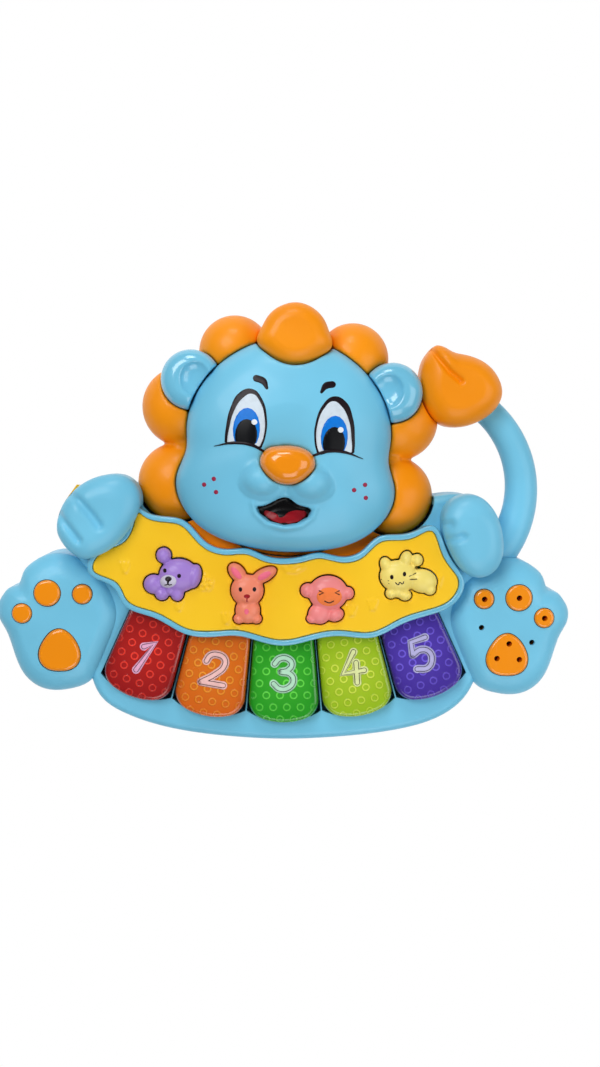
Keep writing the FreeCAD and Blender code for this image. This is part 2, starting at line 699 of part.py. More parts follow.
def pad_at(side, grow=0.0):
    x, y = paw_spot(side, *PAW_PAD)
    return moved(grown(pad_outline(), grow), x, y)


def paw_openings(side):
    gap = S.button_play
    tools = [cylinder("toe_hole", radius + gap, 20, x, y, PAW_TOP - 14) for x, y, radius in toe_places(side)]
    tools.append(prism("pad_hole", pad_at(side, gap), PAW_TOP - 14, 20))
    tools += screw_ways(paw_bosses(side))
    if side > 0:
        for x, y in ((14, 2), (-13, -6)):
            tools.append(cylinder("shell_hole", S.grille_hole, 20, *paw_spot(side, x, y), PAW_TOP - 14))
    return tools


SWITCH_AT = (-112.6, 12.3)
SWITCH_TURN = 54


def switch_opening():
    slot = doc.addObject("Part::Box", "switch_slot")
    reach = math.radians(SWITCH_TURN)
    bind(slot, "Length", S.knob_length + S.switch_travel * 2 + 1)
    bind(slot, "Width", S.slot_depth + 5)
    bind(slot, "Height", S.knob_height + 0.8)
    half = float(S.knob_length + S.switch_travel * 2 + 1) / 2
    deep = float(S.slot_depth)
    place(slot, SWITCH_AT[0] - half * math.cos(reach) + deep * math.sin(reach),
          SWITCH_AT[1] - half * math.sin(reach) - deep * math.cos(reach),
          S.switch_z - S.knob_height / 2 - 0.4, SWITCH_TURN)
    return [slot]


# -------------------------------------------------------------------------------------- keys and their nest
def plunger_z():
    """Just above its rubber dome when the key is pressed home."""
    drop = (PLUNGER_RADIUS - float(S.pivot_radius)) * math.sin(math.radians(float(S.key_travel)))
    return KEY_BOARD_TOP + S.dome_rise + drop + 0.4


def make_key(label, turn):
    cap = fan_body(label, turn)
    pad(cap, key_outline(), KEY_BOTTOM, S.key_height)
    fillet(cap, S.key_corner, upright_front)
    fillet(cap, S.key_edge, at_level(S.key_top))
    pocket(cap, key_outline(-S.key_wall), KEY_BOTTOM, S.key_height - S.key_wall)
    rear = S.pivot_radius - S.pin_radius - 1.4
    length = S.key_rear_radius + 1 - rear
    pad(cap, rectangle(S.tongue_width, length, 0, -rear - length / 2), S.pivot_z - S.tongue_height / 2,
        S.tongue_height)
    reach = S.tongue_width / 2 + S.pin_reach
    pad(cap, [circle(S.pin_radius, -S.pivot_radius, S.pivot_z)], -reach, reach * 2, "YZ_Plane")
    low = plunger_z()
    pad(cap, [circle(2.5, 0, -PLUNGER_RADIUS)], low, S.key_top - S.key_wall - low + 0.5)
    return cap


def upright_front(edge):
    ends = [vertex.Point for vertex in edge.Vertexes]
    upright = len(ends) == 2 and math.hypot(ends[0].x - ends[1].x, ends[0].y - ends[1].y) < 1e-4
    return upright and ends[0].y < -float(S.key_end_radius) + 12


def make_key_chassis():
    """An arc-shaped bar with a pair of pierced cheeks for each key, hung from the deck by its posts."""
    nest = fan_body("key_chassis", S.fan_pitch * -2)
    middle = float(S.fan_pitch) * 2
    inner = S.pivot_radius - S.chassis_width / 2
    pad(nest, sector(inner, inner + S.chassis_width, S.fan_pitch * 2.55, middle), S.chassis_z,
        S.chassis_thickness)
    cheek_base = S.chassis_z + S.chassis_thickness - 0.5
    near = S.tongue_width / 2 + 0.4
    cheeks = []
    for level in (near, -near - S.bracket):
        cheek = pad(nest, cheek_profile(cheek_base), level, S.bracket, "YZ_Plane")
        cheeks.append(cheek)
    fan_pattern(nest, cheeks)
    posts = [polar(S.pivot_radius, middle + float(S.fan_pitch) * (step - 2)) for step in (-0.5, 0.5, 3.5, 4.5)]
    for x, y in posts:
        pad(nest, [circle(2.4, x, y)], cheek_base, UNDER_DECK - cheek_base)
    return nest


def cheek_profile(base):
    """A cheek seen along the pin: straight sides, a round head and the pin's bore."""
    radius = float(S.pin_radius) + 1.8
    y = -float(S.pivot_radius)
    z = float(S.pivot_z)
    low = float(base)
    return [Part.LineSegment(Vector(y - radius, z, 0), Vector(y - radius, low, 0)),
            Part.LineSegment(Vector(y - radius, low, 0), Vector(y + radius, low, 0)),
            Part.LineSegment(Vector(y + radius, low, 0), Vector(y + radius, z, 0)),
            Part.Arc(Vector(y + radius, z, 0), Vector(y, z + radius, 0), Vector(y - radius, z, 0)),
            circle(float(S.pin_radius + S.pin_play), y, z)]


def dome(name, x, y, z):
    """A rubber dome: a foot ring and a round cap."""
    foot = cylinder(name + "_foot", S.dome_radius, 0.6, x, y, z)
    cap = cylinder(name + "_cap", S.dome_radius - 1.6, S.dome_rise, x, y, z)
    return fuse(name, foot, cap)


def make_key_electronics():
    board = fan_body("key_board", 0)
    pad(board, sector(PLUNGER_RADIUS - 12, PLUNGER_RADIUS + 17, S.fan_pitch * 2.35), S.key_board_z, S.board)
    for x, y in [polar(PLUNGER_RADIUS + 2, float(S.fan_pitch) * step) for step in (-1.5, 1.5)]:
        pocket(board, [circle(S.screw_radius, x, y)], S.key_board_z, S.board)
    domes, lamps = [], []
    for index in range(5):
        turn = float(S.fan_pitch) * (index - 2)
        x, y = polar(PLUNGER_RADIUS, turn)
        domes.append(dome("key_dome%d" % index, x, y + float(S.fan_centre_y), KEY_BOARD_TOP))
        x, y = polar(PLUNGER_RADIUS + 11, turn)
        lamp = cylinder("lamp_body", S.led_radius, S.led_height - S.led_radius, x,
                        y + float(S.fan_centre_y), KEY_BOARD_TOP)
        lens = ellipsoid("lamp_lens", S.led_radius, S.led_radius, S.led_radius, x,
                         y + float(S.fan_centre_y), KEY_BOARD_TOP + S.led_height - S.led_radius)
        lamps.append(fuse("lamp", lamp, lens))
    group("key_domes", *domes)
    group("key_lamps", *lamps)


# ------------------------------------------------------------------------------- song panel and its animals
# Each animal is a cluster of lumps: middle, half width, half length, turn and how far it stands up.
ANIMALS = {
    "bear_button": ((-56.5, -28), (
        (1.5, -1, 10.3, 9, 0, 1), (9.6, -1.5, 3.8, 6.6, -14, 0.9), (-6.2, 9.6, 4, 4.2, 0, 0.8),
        (-11.6, -5.6, 5.4, 5.2, 0, 0.75), (-7.4, -10.6, 3.7, 3.7, 0, 0.6), (0.6, -10.4, 3.6, 4.3, 0, 0.6),
        (-3.2, -8.6, 3, 3, 0, 0.6), (-4, -4, 5, 4.2, 0, 1.15))),
    "rabbit_button": ((-19, -38), (
        (0, 1.2, 8.7, 8.4, 0, 1), (-5.2, 10.4, 4, 6, 40, 0.75), (8.6, 9, 3.6, 7.6, -62, 0.75),
        (0.2, -9.6, 6.6, 7, 0, 0.8), (-4.5, -14, 3, 2.8, 0, 0.6), (4.7, -14, 3, 2.8, 0, 0.6),
        (0, -3, 4, 3, 0, 1.1))),
    "monkey_button": ((23, -40), (
        (0.5, 1.6, 10.4, 9.4, 0, 1), (-10.2, 3, 3.9, 3.9, 0, 0.7), (11, 1.5, 3.2, 3.4, 0, 0.7),
        (-4, -9.4, 6, 5.6, 0, 0.75), (4.4, -10, 4.6, 3.6, 20, 0.7), (-8, -12, 3, 2.6, 0, 0.55))),
    "cat_button": ((65, -30), (
        (-4.4, 0.6, 10, 8.6, 0, 1), (-11, 6.4, 3.2, 4.4, 22, 0.75), (-0.6, 9.6, 3.2, 4.4, -16, 0.75),
        (8, -2, 8, 6.4, -12, 0.8), (5.2, 9, 3.2, 3.4, 0, 0.65), (12, -6.4, 3.4, 3.2, 0, 0.6),
        (-1, -9.6, 3.6, 3, 0, 0.6), (-8.4, -8.6, 3, 3, 0, 0.6), (-5, -8, 3, 3, 0, 0.6))),
}


def lump_prism(name, lump, x, y, gap, bottom, height):
    across, along, wide, high, turn, rise = lump
    ring = doc.addObject("Part::Ellipse", name + "_ring")
    major, minor = max(wide, high), min(wide, high)
    bind(ring, "MajorRadius", gap + major)
    bind(ring, "MinorRadius", gap + minor)
    place(ring, x + across, y + along, bottom, turn + (90 if high > wide else 0))
    block = doc.addObject("Part::Extrusion", name)
    block.Base = ring
    block.DirMode = "Custom"
    block.Dir = Vector(0, 0, 1)
    block.Solid = True
    bind(block, "LengthFwd", height)
    return block


def make_animals():
    """The buttons, and the blocks that open the panel for them."""
    openings = []
    low = PANEL_UNDER - S.fit - S.flange
    for label, ((x, y), lumps) in ANIMALS.items():
        solids = []
        for number, lump in enumerate(lumps):
            name = "%s_lump%d" % (label, number)
            across, along, wide, high, turn, rise = lump
            sunk = 0.5 + 0.12 * number
            half = ellipsoid(name, wide, high, S.animal_rise * rise + sunk, x + across, y + along,
                             PANEL_TOP - sunk, turn)
            half.Angle1 = 0
            solids.append(half)
            openings.append(lump_prism(name + "_gap", lump, x, y, S.animal_gap, FRAME_BASE, 10))
        solids.append(cylinder(label + "_stem", 5.5, PANEL_TOP - 0.2 - low, x, y - 1, low))
        solids.append(cylinder(label + "_flange", 8, S.flange, x, y - 1, low))
        fuse(label, *solids)
    return openings


def make_song_panel(openings):
    sheet_body = body("song_panel_blank")
    pad(sheet_body, [spline(song_outline())], FRAME_BASE, PANEL_TOP - FRAME_BASE)
    pocket(sheet_body, [spline(grown(song_outline(), -2.6))], FRAME_BASE, PANEL_UNDER - FRAME_BASE)
    for x, y in panel_posts():
        pad(sheet_body, [circle(2.6, x, y)], PANEL_BOARD_TOP, PANEL_UNDER - PANEL_BOARD_TOP)
        pocket(sheet_body, [circle(S.screw_radius + S.pin_play, x, y)], PANEL_BOARD_TOP, 5)
    cut("song_panel", sheet_body, *openings)


def panel_posts():
    return [(x, y + float(S.fan_centre_y)) for x, y in
            [polar(S.board_inner_radius + 4, degrees) for degrees in (-13, 0.6, 15)]]


def make_panel_frame():
    frame = body("panel_frame")
    pad(frame, [spline(grown(song_outline(), S.frame_border))], FRAME_BASE, S.frame_height)
    fillet(frame, S.frame_round, at_level(FRAME_TOP))
    pocket(frame, [spline(grown(song_outline(), 0.15))], FRAME_BASE, S.frame_height)


def make_panel_electronics():
    board = fan_body("panel_board", 0)
    outer = S.key_rear_radius - 2.4
    pad(board, sector(S.board_inner_radius, outer, S.fan_pitch * 2.6), S.panel_board_z, S.board)
    domes = [dome("panel_dome", x, y - 1, PANEL_BOARD_TOP) for (x, y), lumps in ANIMALS.values()]
    for x, y in panel_posts():
        pocket(board, [circle(S.screw_radius + S.screw_play, x, y - float(S.fan_centre_y))], S.panel_board_z,
               S.board)
    group("panel_domes", *domes)


# ------------------------------------------------------------------------------------------- paws and hands
def make_paw_buttons():
    labels = ("toe_button_middle", "toe_button_inner", "toe_button_outer")
    side = -1
    under = PAW_FLANGE_TOP
    length = PAW_TOP + S.button_rise - under + S.flange
    for label, (x, y, radius) in zip(labels, toe_places(side)):
        button = body(label)
        pad(button, [circle(radius, x, y)], under - S.flange, length)
        fillet(button, 1.6, at_level(PAW_TOP + S.button_rise))
        pad(button, [circle(radius + 1.2, x, y)], under - S.flange, S.flange)
    button = body("mode_button")
    pad(button, [spline(pad_at(side))], under - S.flange, length)
    fillet(button, 2.2, at_level(PAW_TOP + S.button_rise))
    pad(button, [spline(pad_at(side, 1.2))], under - S.flange, S.flange)
    x, y = paw_spot(side, 0, 2)
    board = body("paw_board")
    pad(board, [spline(grown(scaled(paw_outline(side), 0.78, x, y), -1))], PAW_BOARD_TOP - S.board, S.board)
    places = [(px, py) for px, py, radius in toe_places(side)] + [paw_spot(side, *PAW_PAD)]
    group("paw_domes", *[dome("paw_dome", px, py, PAW_BOARD_TOP) for px, py in places])


def make_grille():
    """The orange pads of the right paw: one moulding that shows through the shell, with sound holes."""
    side = 1
    x, y = paw_spot(side, 0, 0)
    grille = body("speaker_grille")
    under = PAW_FLANGE_TOP
    length = PAW_TOP + S.button_rise - under + S.flange
    pad(grille, [spline(scaled(paw_outline(side), 0.76, x, y))], under - S.flange, S.flange)
    for px, py, radius in toe_places(side):
        pad(grille, [circle(radius, px, py)], under - S.flange, length)
    pad(grille, [spline(pad_at(side))], under - S.flange, length)
    fillet(grille, 1.6, at_level(PAW_TOP + S.button_rise))
    holes = [(px, py) for px, py, radius in toe_places(side)]
    holes += [paw_spot(side, hx, hy) for hx, hy in ((-0.6, -6.5), (-6.2, -15), (5.8, -14.4), (14, 2), (-13, -6))]
    for px, py in holes:
        pocket(grille, [circle(S.grille_hole, px, py)], under - S.flange, length)


def make_speaker():
    x, y = paw_spot(1, -1, -8)
    rim = PAW_FLANGE_TOP - S.flange
    low = rim - S.speaker_depth
    basket = body("speaker_basket", x, y, low)
    radius = S.speaker_radius
    profile = polygon([(S.magnet_radius - 3, 0), (S.magnet_radius + 1, 0), (radius - 1.6, S.speaker_depth - 2),
                       (radius, S.speaker_depth - 2), (radius, S.speaker_depth),
                       (radius - 2.6, S.speaker_depth), (S.magnet_radius, 1), (S.magnet_radius - 3, 1)])
    revolve(basket, profile)
    cone = body("speaker_cone", x, y, low)
    inner = S.magnet_radius - 4
    profile = polygon([(0, 2.2), (inner, 2.2), (radius - 5.4, S.speaker_depth - 1.2),
                       (radius - 3.7, S.speaker_depth - 1.2), (radius - 3.7, S.speaker_depth - 0.8),
                       (radius - 5.6, S.speaker_depth - 0.8), (inner - 0.3, 2.7), (0, 3.6)])
    revolve(cone, profile)
    magnet = body("speaker_magnet", x, y, low)
    pad(magnet, [circle(S.magnet_radius)], -S.magnet_height, S.magnet_height)
    fillet(magnet, 0.6, at_level(low - S.magnet_height - low))


def revolve(thing, profile):
    feature = thing.newObject("PartDesign::Revolution", thing.Name + "_turned")
    feature.Profile = sketch(thing, profile, 0, "XZ_Plane")
    feature.ReferenceAxis = (origin_part(thing, "Z_Axis"), [""])
    feature.Angle = 360
    return feature


def make_hands():
    labels = {-1: "left_hand", 1: "right_hand"}
    for side, label in labels.items():
        (x, y), points = HANDS[side]
        blank = body(label + "_blank")
        pillow(blank, hand_outline(side), DECK, DECK + S.hand_side, S.hand_dome, 0.62, x, y)
        grip = prism(label + "_grip", grown(song_outline(), S.frame_border + S.fit), DECK - 1,
                     FRAME_TOP - DECK + 1 + S.fit)
        paw_gap = prism(label + "_paw_gap", grown(paw_outline(side), S.fit), DECK - 1, PAW_TOP - DECK + 1)
        cut(label, blank, grip, paw_gap)


# ------------------------------------------------------------------------------------------------- the head
def make_mane():
    floor = S.mane_floor
    lip = floor + 3.4
    disc = cylinder("mane_disc", S.mane_disc, lip, *tilted(0, S.head_y), SPLIT)
    solids = [disc]
    for x, y, radius in lobes():
        solids.append(ellipsoid("mane_lobe", radius, radius, S.mane_rise - 6, *tilted(x, y), SPLIT + 6))
    whole = fuse("mane_whole", *solids)
    kept = doc.addObject("Part::Common", "mane_kept")
    kept.Base = whole
    kept.Tool = box("mane_room", 240, 240, S.mane_rise + 1, *tilted(0, S.head_y), SPLIT)
    turn = -S.head_tilt
    above = S.mane_rise
    hollow = cylinder("mane_hollow", S.mane_disc - 3 - S.wall, floor - S.wall, *tilted(0, S.head_y), SPLIT)
    posts = [cylinder("mane_post", S.boss_radius, floor, *tilted(x, y), SPLIT) for x, y in HEAD_SCREWS]
    tools = [cut("mane_room_around_posts", hollow, *posts)]
    tools += [cylinder("mane_screw_hole", S.screw_radius + S.pin_play, 5, *tilted(x, y), SPLIT)
              for x, y in HEAD_SCREWS]
    tools += [prism("face_seat", grown(face_outline(), S.fit), RECESS, above, turn),
             prism("forelock_seat", grown(forelock_outline(), S.fit), RECESS, above, turn),
             prism("tuft_seat", grown(tuft_outline(), S.fit), RECESS, above),
             prism("plinth_gap", grown(song_outline(), S.frame_border + S.fit), DECK - S.fit, above)]
    for side in (-1, 1):
        tools.append(prism("ear_seat", grown(ear_outline(side), S.fit), RECESS, above, turn))
        tools.append(prism("hand_gap", grown(hand_outline(side), S.fit), DECK - S.fit, above))
    cut("mane", kept, *tools)


NOSE = (0.3, -10)
NOSE_BASE = RECESS + S.face_side + S.face_dome - 2.5


def nose_outline(grow=0.0):
    half = ((0, 9.4), (7.5, 8.5), (12.6, 5.2), (14.2, 0.4), (12.2, -4.4), (7.6, -8.6), (3, -10.4), (0, -10.6))
    points = grown(drawn(both_sides(half), S.nose_width, S.nose_length), grow)
    return moved(points, NOSE[0], S.head_y + NOSE[1])


def mouth_outline():
    return moved((
        (-14, -32.8), (-7.4, -30.9), (-2.7, -28), (0, -27.2), (2.9, -28), (7.4, -30.9), (14, -32.8),
        (12.4, -36.8), (7.1, -40.2), (0.5, -41.6), (-6.8, -40.2), (-12.3, -36.5)), 0, S.head_y)


def make_face():
    turn = -S.head_tilt
    blank = body("face_blank", 0, 0, 0, turn)
    pillow(blank, face_outline(), RECESS, RECESS + S.face_side, S.face_dome, 0.78, 0, S.head_y)
    surface = RECESS + S.face_side + S.face_dome
    lumps = [blank]
    for x, y, across, along, deep, sink in ((-12, -17.5, 13, 11.5, 12, 7.5), (12.6, -17.5, 13, 11.5, 12, 7.5),
                                            (0.5, -40.5, 14, 6.4, 9, 12)):
        lumps.append(ellipsoid("face_lump", across, along, deep, *tilted(x, S.head_y + y), surface - sink,
                               turn))
    whole = fuse("face_whole", *lumps)
    tools = [prism("mouth", mouth_outline(), surface - 9, 20, turn),
             prism("nose_seat", nose_outline(0.05), NOSE_BASE, 20, turn),
             prism("forelock_gap", grown(forelock_outline(), S.fit), RECESS, 40, turn)]
    carved = cut("face_carved", whole, *tools)
    tongue = ellipsoid("tongue", 9.6, 3.6, 2.2, *tilted(1, S.head_y - 38.4), surface - 9, turn)
    fuse("face", carved, tongue)


def make_head_trim():
    turn = -S.head_tilt
    nose = body("nose", 0, 0, 0, turn)
    pillow(nose, nose_outline(), NOSE_BASE, NOSE_BASE + 3.5, S.nose_height, 0.72, NOSE[0],
           S.head_y + NOSE[1])
    forelock = body("forelock", 0, 0, 0, turn)
    pillow(forelock, forelock_outline(), RECESS, RECESS + S.forelock_rise - 9, 9, 0.6, 0,
           S.head_y + 56.6)
    for side, label in ((-1, "left_ear"), (1, "right_ear")):
        blank = body(label + "_blank", 0, 0, 0, turn)
        x, y = side * 52.8, S.head_y + 30
        pillow(blank, ear_outline(side), RECESS, RECESS + S.ear_rise - 8, 8, 0.6, x, y)
        gap = prism(label + "_gap", grown(face_outline(), S.fit), RECESS - 1, 40, turn)
        dimple = ellipsoid(label + "_dimple", 8, 9, 4, *tilted(x + 3 * -side, y + 0.5), RECESS + S.ear_rise, turn)
        cut(label, blank, gap, dimple)


# ------------------------------------------------------------------------------------------ the tail handle
TAIL_CENTRE = (72.8, 15)
TAIL_BOW = 56.4
TAIL_ENDS = (60, -48)


def make_tail():
    rings = []
    steps = 9
    first, last = TAIL_ENDS
    for step in range(steps + 1):
        share = step / steps
        angle = first + (last - first) * share
        ring = doc.addObject("Part::Circle", "tail_ring")
        bind(ring, "Radius", S.tail_high + (S.tail_low - S.tail_high) * share)
        turn = math.radians(angle)
        spin = Rotation(Vector(0, 0, 1), angle) * Rotation(Vector(1, 0, 0), 90)
        ring.Placement = Placement(Vector(0, 0, 0), spin)
        bind(ring, "Placement.Base.x", TAIL_CENTRE[0] + TAIL_BOW * math.cos(turn))
        bind(ring, "Placement.Base.y", TAIL_CENTRE[1] + TAIL_BOW * math.sin(turn))
        bind(ring, "Placement.Base.z", S.tail_z)
        rings.append(ring)
    tube = doc.addObject("Part::Loft", "tail_tube")
    tube.Sections = rings
    tube.Solid = True
    for label, low in (("tail_front", S.tail_z), ("tail_back", S.tail_z - 20)):
        half = doc.addObject("Part::Common", label + "_half")
        half.Base = tube
        half.Tool = box(label + "_room", 120, 140, 20, 100, 15, low)
        bodies = [prism("tail_stop", body_outline(), 0, DECK + 1),
                  prism("tail_stop", paw_outline(1), 0, DECK + 1),
                  prism("tail_stop", grown(tuft_outline(), -2), 0, SPLIT),
                  mane_print("tail_mane", 0, DECK)]
        cut(label, half, *bodies)


def make_tuft():
    blank = body("tail_tuft_blank")
    shoulder = SPLIT + S.tuft_side
    pillow(blank, tuft_outline(), SPLIT, shoulder, S.tuft_dome, 0.6, 94, 70)
    under = mane_print("tuft_mane", 0, RECESS + S.fit)
    ear = prism("tuft_ear", grown(ear_outline(1), S.fit), RECESS - 1, S.ear_rise + 2, -S.head_tilt)
    cut("tail_tuft", blank, under, ear, doc.getObject("tail_tube"))


# ----------------------------------------------------------------------------------- switch, screws, boards
def make_switch():
    reach = math.radians(SWITCH_TURN)
    out = (-math.sin(reach), math.cos(reach))
    knob = body("power_switch_knob", SWITCH_AT[0], SWITCH_AT[1], S.switch_z, SWITCH_TURN)
    pad(knob, rectangle(S.knob_length, 4 + S.knob_reach, 0, S.knob_reach / 2 - 2), -S.knob_height / 2,
        S.knob_height)
    fillet(knob, 1, lambda edge: edge.CenterOfMass.y > float(S.knob_reach) - 0.1)
    pad(knob, rectangle(3, 3, 0, -5.5), -1.5, 3)
    switch = body("power_switch_body", SWITCH_AT[0], SWITCH_AT[1], S.switch_z, SWITCH_TURN)
    pad(switch, rectangle(14, 6, 0, -10.4), -4, 8)


def make_main_board():
    board = body("main_board")
    x, y = MAIN_BOARD
    pad(board, rectangle(50, 28, x, y), S.main_board_z, S.board)
    chip = cylinder("chip_drop", 5, 1.4, x - 4, y + 2, S.main_board_z + S.board)
    can = cylinder("capacitor_can", 3, 8, x + 16, y - 2, S.main_board_z + S.board)
    group("chip", chip)
    group("capacitor", can)


def make_screws():
    shell = [screw("shell_screw", x, y, 3, S.screw_length) for x, y in boss_places()
             if (x, y) not in [tilted(hx, hy) for hx, hy in HEAD_SCREWS]]
    group("housing_screws", *shell)
    head = [screw("head_screw", *tilted(x, y), 3, S.screw_length) for x, y in HEAD_SCREWS]
    group("head_screws", *head)
    small = [screw("board_screw", x, y, S.panel_board_z - S.screw_head, 6) for x, y in panel_posts()]
    group("board_screws", *small)


NODES = ("back_cover", "base_housing", "battery_door", "battery_door_screw", "batteries",
         "battery_contacts", "key_chassis") + KEYS + (
    "key_board", "key_domes", "key_lamps", "song_panel", "panel_frame") + tuple(ANIMALS) + (
    "panel_board", "panel_domes", "toe_button_middle", "toe_button_inner", "toe_button_outer",
    "mode_button", "paw_board", "paw_domes", "speaker_grille", "speaker_basket", "speaker_cone",
    "speaker_magnet", "left_hand", "right_hand", "mane", "face", "nose", "forelock", "left_ear",
    "right_ear", "tail_front", "tail_back", "tail_tuft", "power_switch_knob", "power_switch_body",
    "main_board", "chip", "capacitor", "housing_screws", "head_screws", "board_screws")


def main():
    make_back_cover()
    make_battery_parts()
    make_housing()
    for index, label in enumerate(KEYS):
        make_key(label, S.fan_pitch * (index - 2))
    make_key_chassis()
    make_key_electronics()
    make_song_panel(make_animals())
    make_panel_frame()
    make_panel_electronics()
    make_paw_buttons()
    make_grille()
    make_speaker()
    make_hands()
    make_mane()
    make_face()
    make_head_trim()
    make_tail()
    make_tuft()
    make_switch()
    make_main_board()
    make_screws()
    doc.recompute()
    for thing in doc.Objects:
        if "Invalid" in thing.State or "Error" in thing.State:
            raise ValueError("%s failed" % thing.Label)
    found = {thing.Label: thing for thing in doc.Objects if thing.Label in NODES}
    for label in NODES:
        shape = found[label].Shape
        if shape.isNull() or not shape.isValid() or not shape.Solids:
            raise ValueError("%s has no sound shape" % label)
    os.makedirs("parts", exist_ok=True)
    for label in NODES:
        found[label].Shape.exportStep("parts/%s.step" % label)


main()
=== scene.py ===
"""Dresses the packed lion keyboard: moulded skins, painted eyes, clear keys, light and camera."""

import json
import math

import bmesh
import bpy
from bpy.props import FloatProperty, FloatVectorProperty, IntProperty, PointerProperty
from mathutils import Matrix, Vector
from mathutils.bvhtree import BVHTree

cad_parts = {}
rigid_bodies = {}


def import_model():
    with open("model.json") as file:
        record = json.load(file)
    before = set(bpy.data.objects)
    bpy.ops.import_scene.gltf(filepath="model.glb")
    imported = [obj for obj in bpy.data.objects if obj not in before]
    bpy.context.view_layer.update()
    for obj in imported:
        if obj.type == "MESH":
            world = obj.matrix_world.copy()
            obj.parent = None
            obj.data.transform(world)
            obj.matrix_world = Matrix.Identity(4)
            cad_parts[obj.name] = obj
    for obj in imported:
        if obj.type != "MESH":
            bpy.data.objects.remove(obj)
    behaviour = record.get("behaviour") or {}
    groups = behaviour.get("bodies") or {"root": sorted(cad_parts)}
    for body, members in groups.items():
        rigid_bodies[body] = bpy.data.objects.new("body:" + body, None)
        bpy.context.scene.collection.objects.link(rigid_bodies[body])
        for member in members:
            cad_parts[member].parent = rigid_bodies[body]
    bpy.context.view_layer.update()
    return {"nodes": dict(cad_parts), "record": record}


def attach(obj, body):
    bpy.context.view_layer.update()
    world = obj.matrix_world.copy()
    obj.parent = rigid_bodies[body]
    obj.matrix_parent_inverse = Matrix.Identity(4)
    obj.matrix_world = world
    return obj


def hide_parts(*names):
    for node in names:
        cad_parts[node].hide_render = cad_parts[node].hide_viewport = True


bl_info = {
    "name": "Lion keyboard dressing",
    "version": (1, 0, 0),
    "blender": (4, 5, 0),
    "location": "View3D > Sidebar > Lion",
    "description": "Builds the visible skins and finishes of a lion-shaped toy keyboard",
    "category": "Add Mesh",
}

# Blender's start-up objects go before the frame comes in
for leftover in list(bpy.data.objects):
    bpy.data.objects.remove(leftover)
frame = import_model()

# outlines are written in millimetres; materials, lights and the camera are in metres
MM = 0.001
HEAD_TURN = math.radians(-3.7)
FAN_CENTRE_Y = 130
FAN_PITCH = math.radians(9.95)
# the painted glow on each key is centred this far from the fan's centre, in millimetres
GLOW_RADIUS = 215
FACING_UP = 0.05
TOE_BUTTONS = ("toe_button_middle", "toe_button_inner", "toe_button_outer")


# ------------------------------------------------------------ node shorthand
class Wire:
    """A shader socket that takes part in Python sums."""

    def __init__(self, finish, socket):
        self.finish = finish
        self.socket = socket

    def math(self, operation, *others):
        return self.finish.node("ShaderNodeMath", {"operation": operation}, (self,) + others)

    def __add__(self, other):
        return self.math("ADD", other)

    def __sub__(self, other):
        return self.math("SUBTRACT", other)

    def __rsub__(self, other):
        return self.finish.node("ShaderNodeMath", {"operation": "SUBTRACT"}, (other, self))

    def __mul__(self, other):
        return self.math("MULTIPLY", other)

    __radd__ = __add__

    def step(self, low, high):
        """0 below low, 1 above high, smooth between."""
        return self.finish.node("ShaderNodeMapRange", {"interpolation_type": "SMOOTHSTEP"},
                                {"Value": self, "From Min": low, "From Max": high})


class Finish:
    """A material in the making."""

    def __init__(self, name, **constants):
        self.material = bpy.data.materials.new(name)
        self.material.use_nodes = True
        self.tree = self.material.node_tree
        self.shader = self.tree.nodes["Principled BSDF"]
        self.set(**constants)
        self.place = self.node("ShaderNodeTexCoord", {}, {}, "Object")

    def set(self, **constants):
        for label, value in constants.items():
            self.feed(self.shader, label.replace("_", " "), value)

    def feed(self, node, key, value):
        socket = node.inputs[key]
        if isinstance(value, Wire):
            self.tree.links.new(value.socket, socket)
        elif isinstance(value, (tuple, list)) and len(value) == 3 and socket.type == "RGBA":
            socket.default_value = (*value, 1)
        else:
            socket.default_value = value

    def node(self, kind, settings, inputs, output=0):
        made = self.tree.nodes.new(kind)
        for label, value in settings.items():
            setattr(made, label, value)
        pairs = inputs.items() if isinstance(inputs, dict) else enumerate(inputs)
        for key, value in pairs:
            self.feed(made, key, value)
        return Wire(self, made.outputs[output])

    def noise(self, scale, detail=3, roughness=0.55, stretch=None):
        where = self.place
        if stretch:
            where = self.node("ShaderNodeMapping", {}, {"Vector": where, "Scale": stretch})
        return self.node("ShaderNodeTexNoise", {},
                         {"Vector": where, "Scale": scale, "Detail": detail, "Roughness": roughness})

    def mix(self, amount, first, second):
        made = self.tree.nodes.new("ShaderNodeMix")
        made.data_type = "RGBA"
        self.feed(made, 0, amount)
        self.feed(made, 6, first)
        self.feed(made, 7, second)
        return Wire(self, made.outputs[2])

    def axes(self, where=None):
        made = self.tree.nodes.new("ShaderNodeSeparateXYZ")
        self.feed(made, 0, where or self.place)
        return [Wire(self, out) for out in made.outputs]

    def bump(self, height, distance, strength=1.0):
        self.set(Normal=self.node("ShaderNodeBump", {},
                                  {"Height": height, "Distance": distance, "Strength": strength}))
        return self.material


def linear(value):
    """A screen value as the light it stands for."""
    return value / 12.92 if value <= 0.04045 else ((value + 0.055) / 1.055) ** 2.4


def colour(red, green, blue):
    return tuple(linear(part / 255) for part in (red, green, blue))


def scaled(tint, share):
    return tuple(part * share for part in tint)


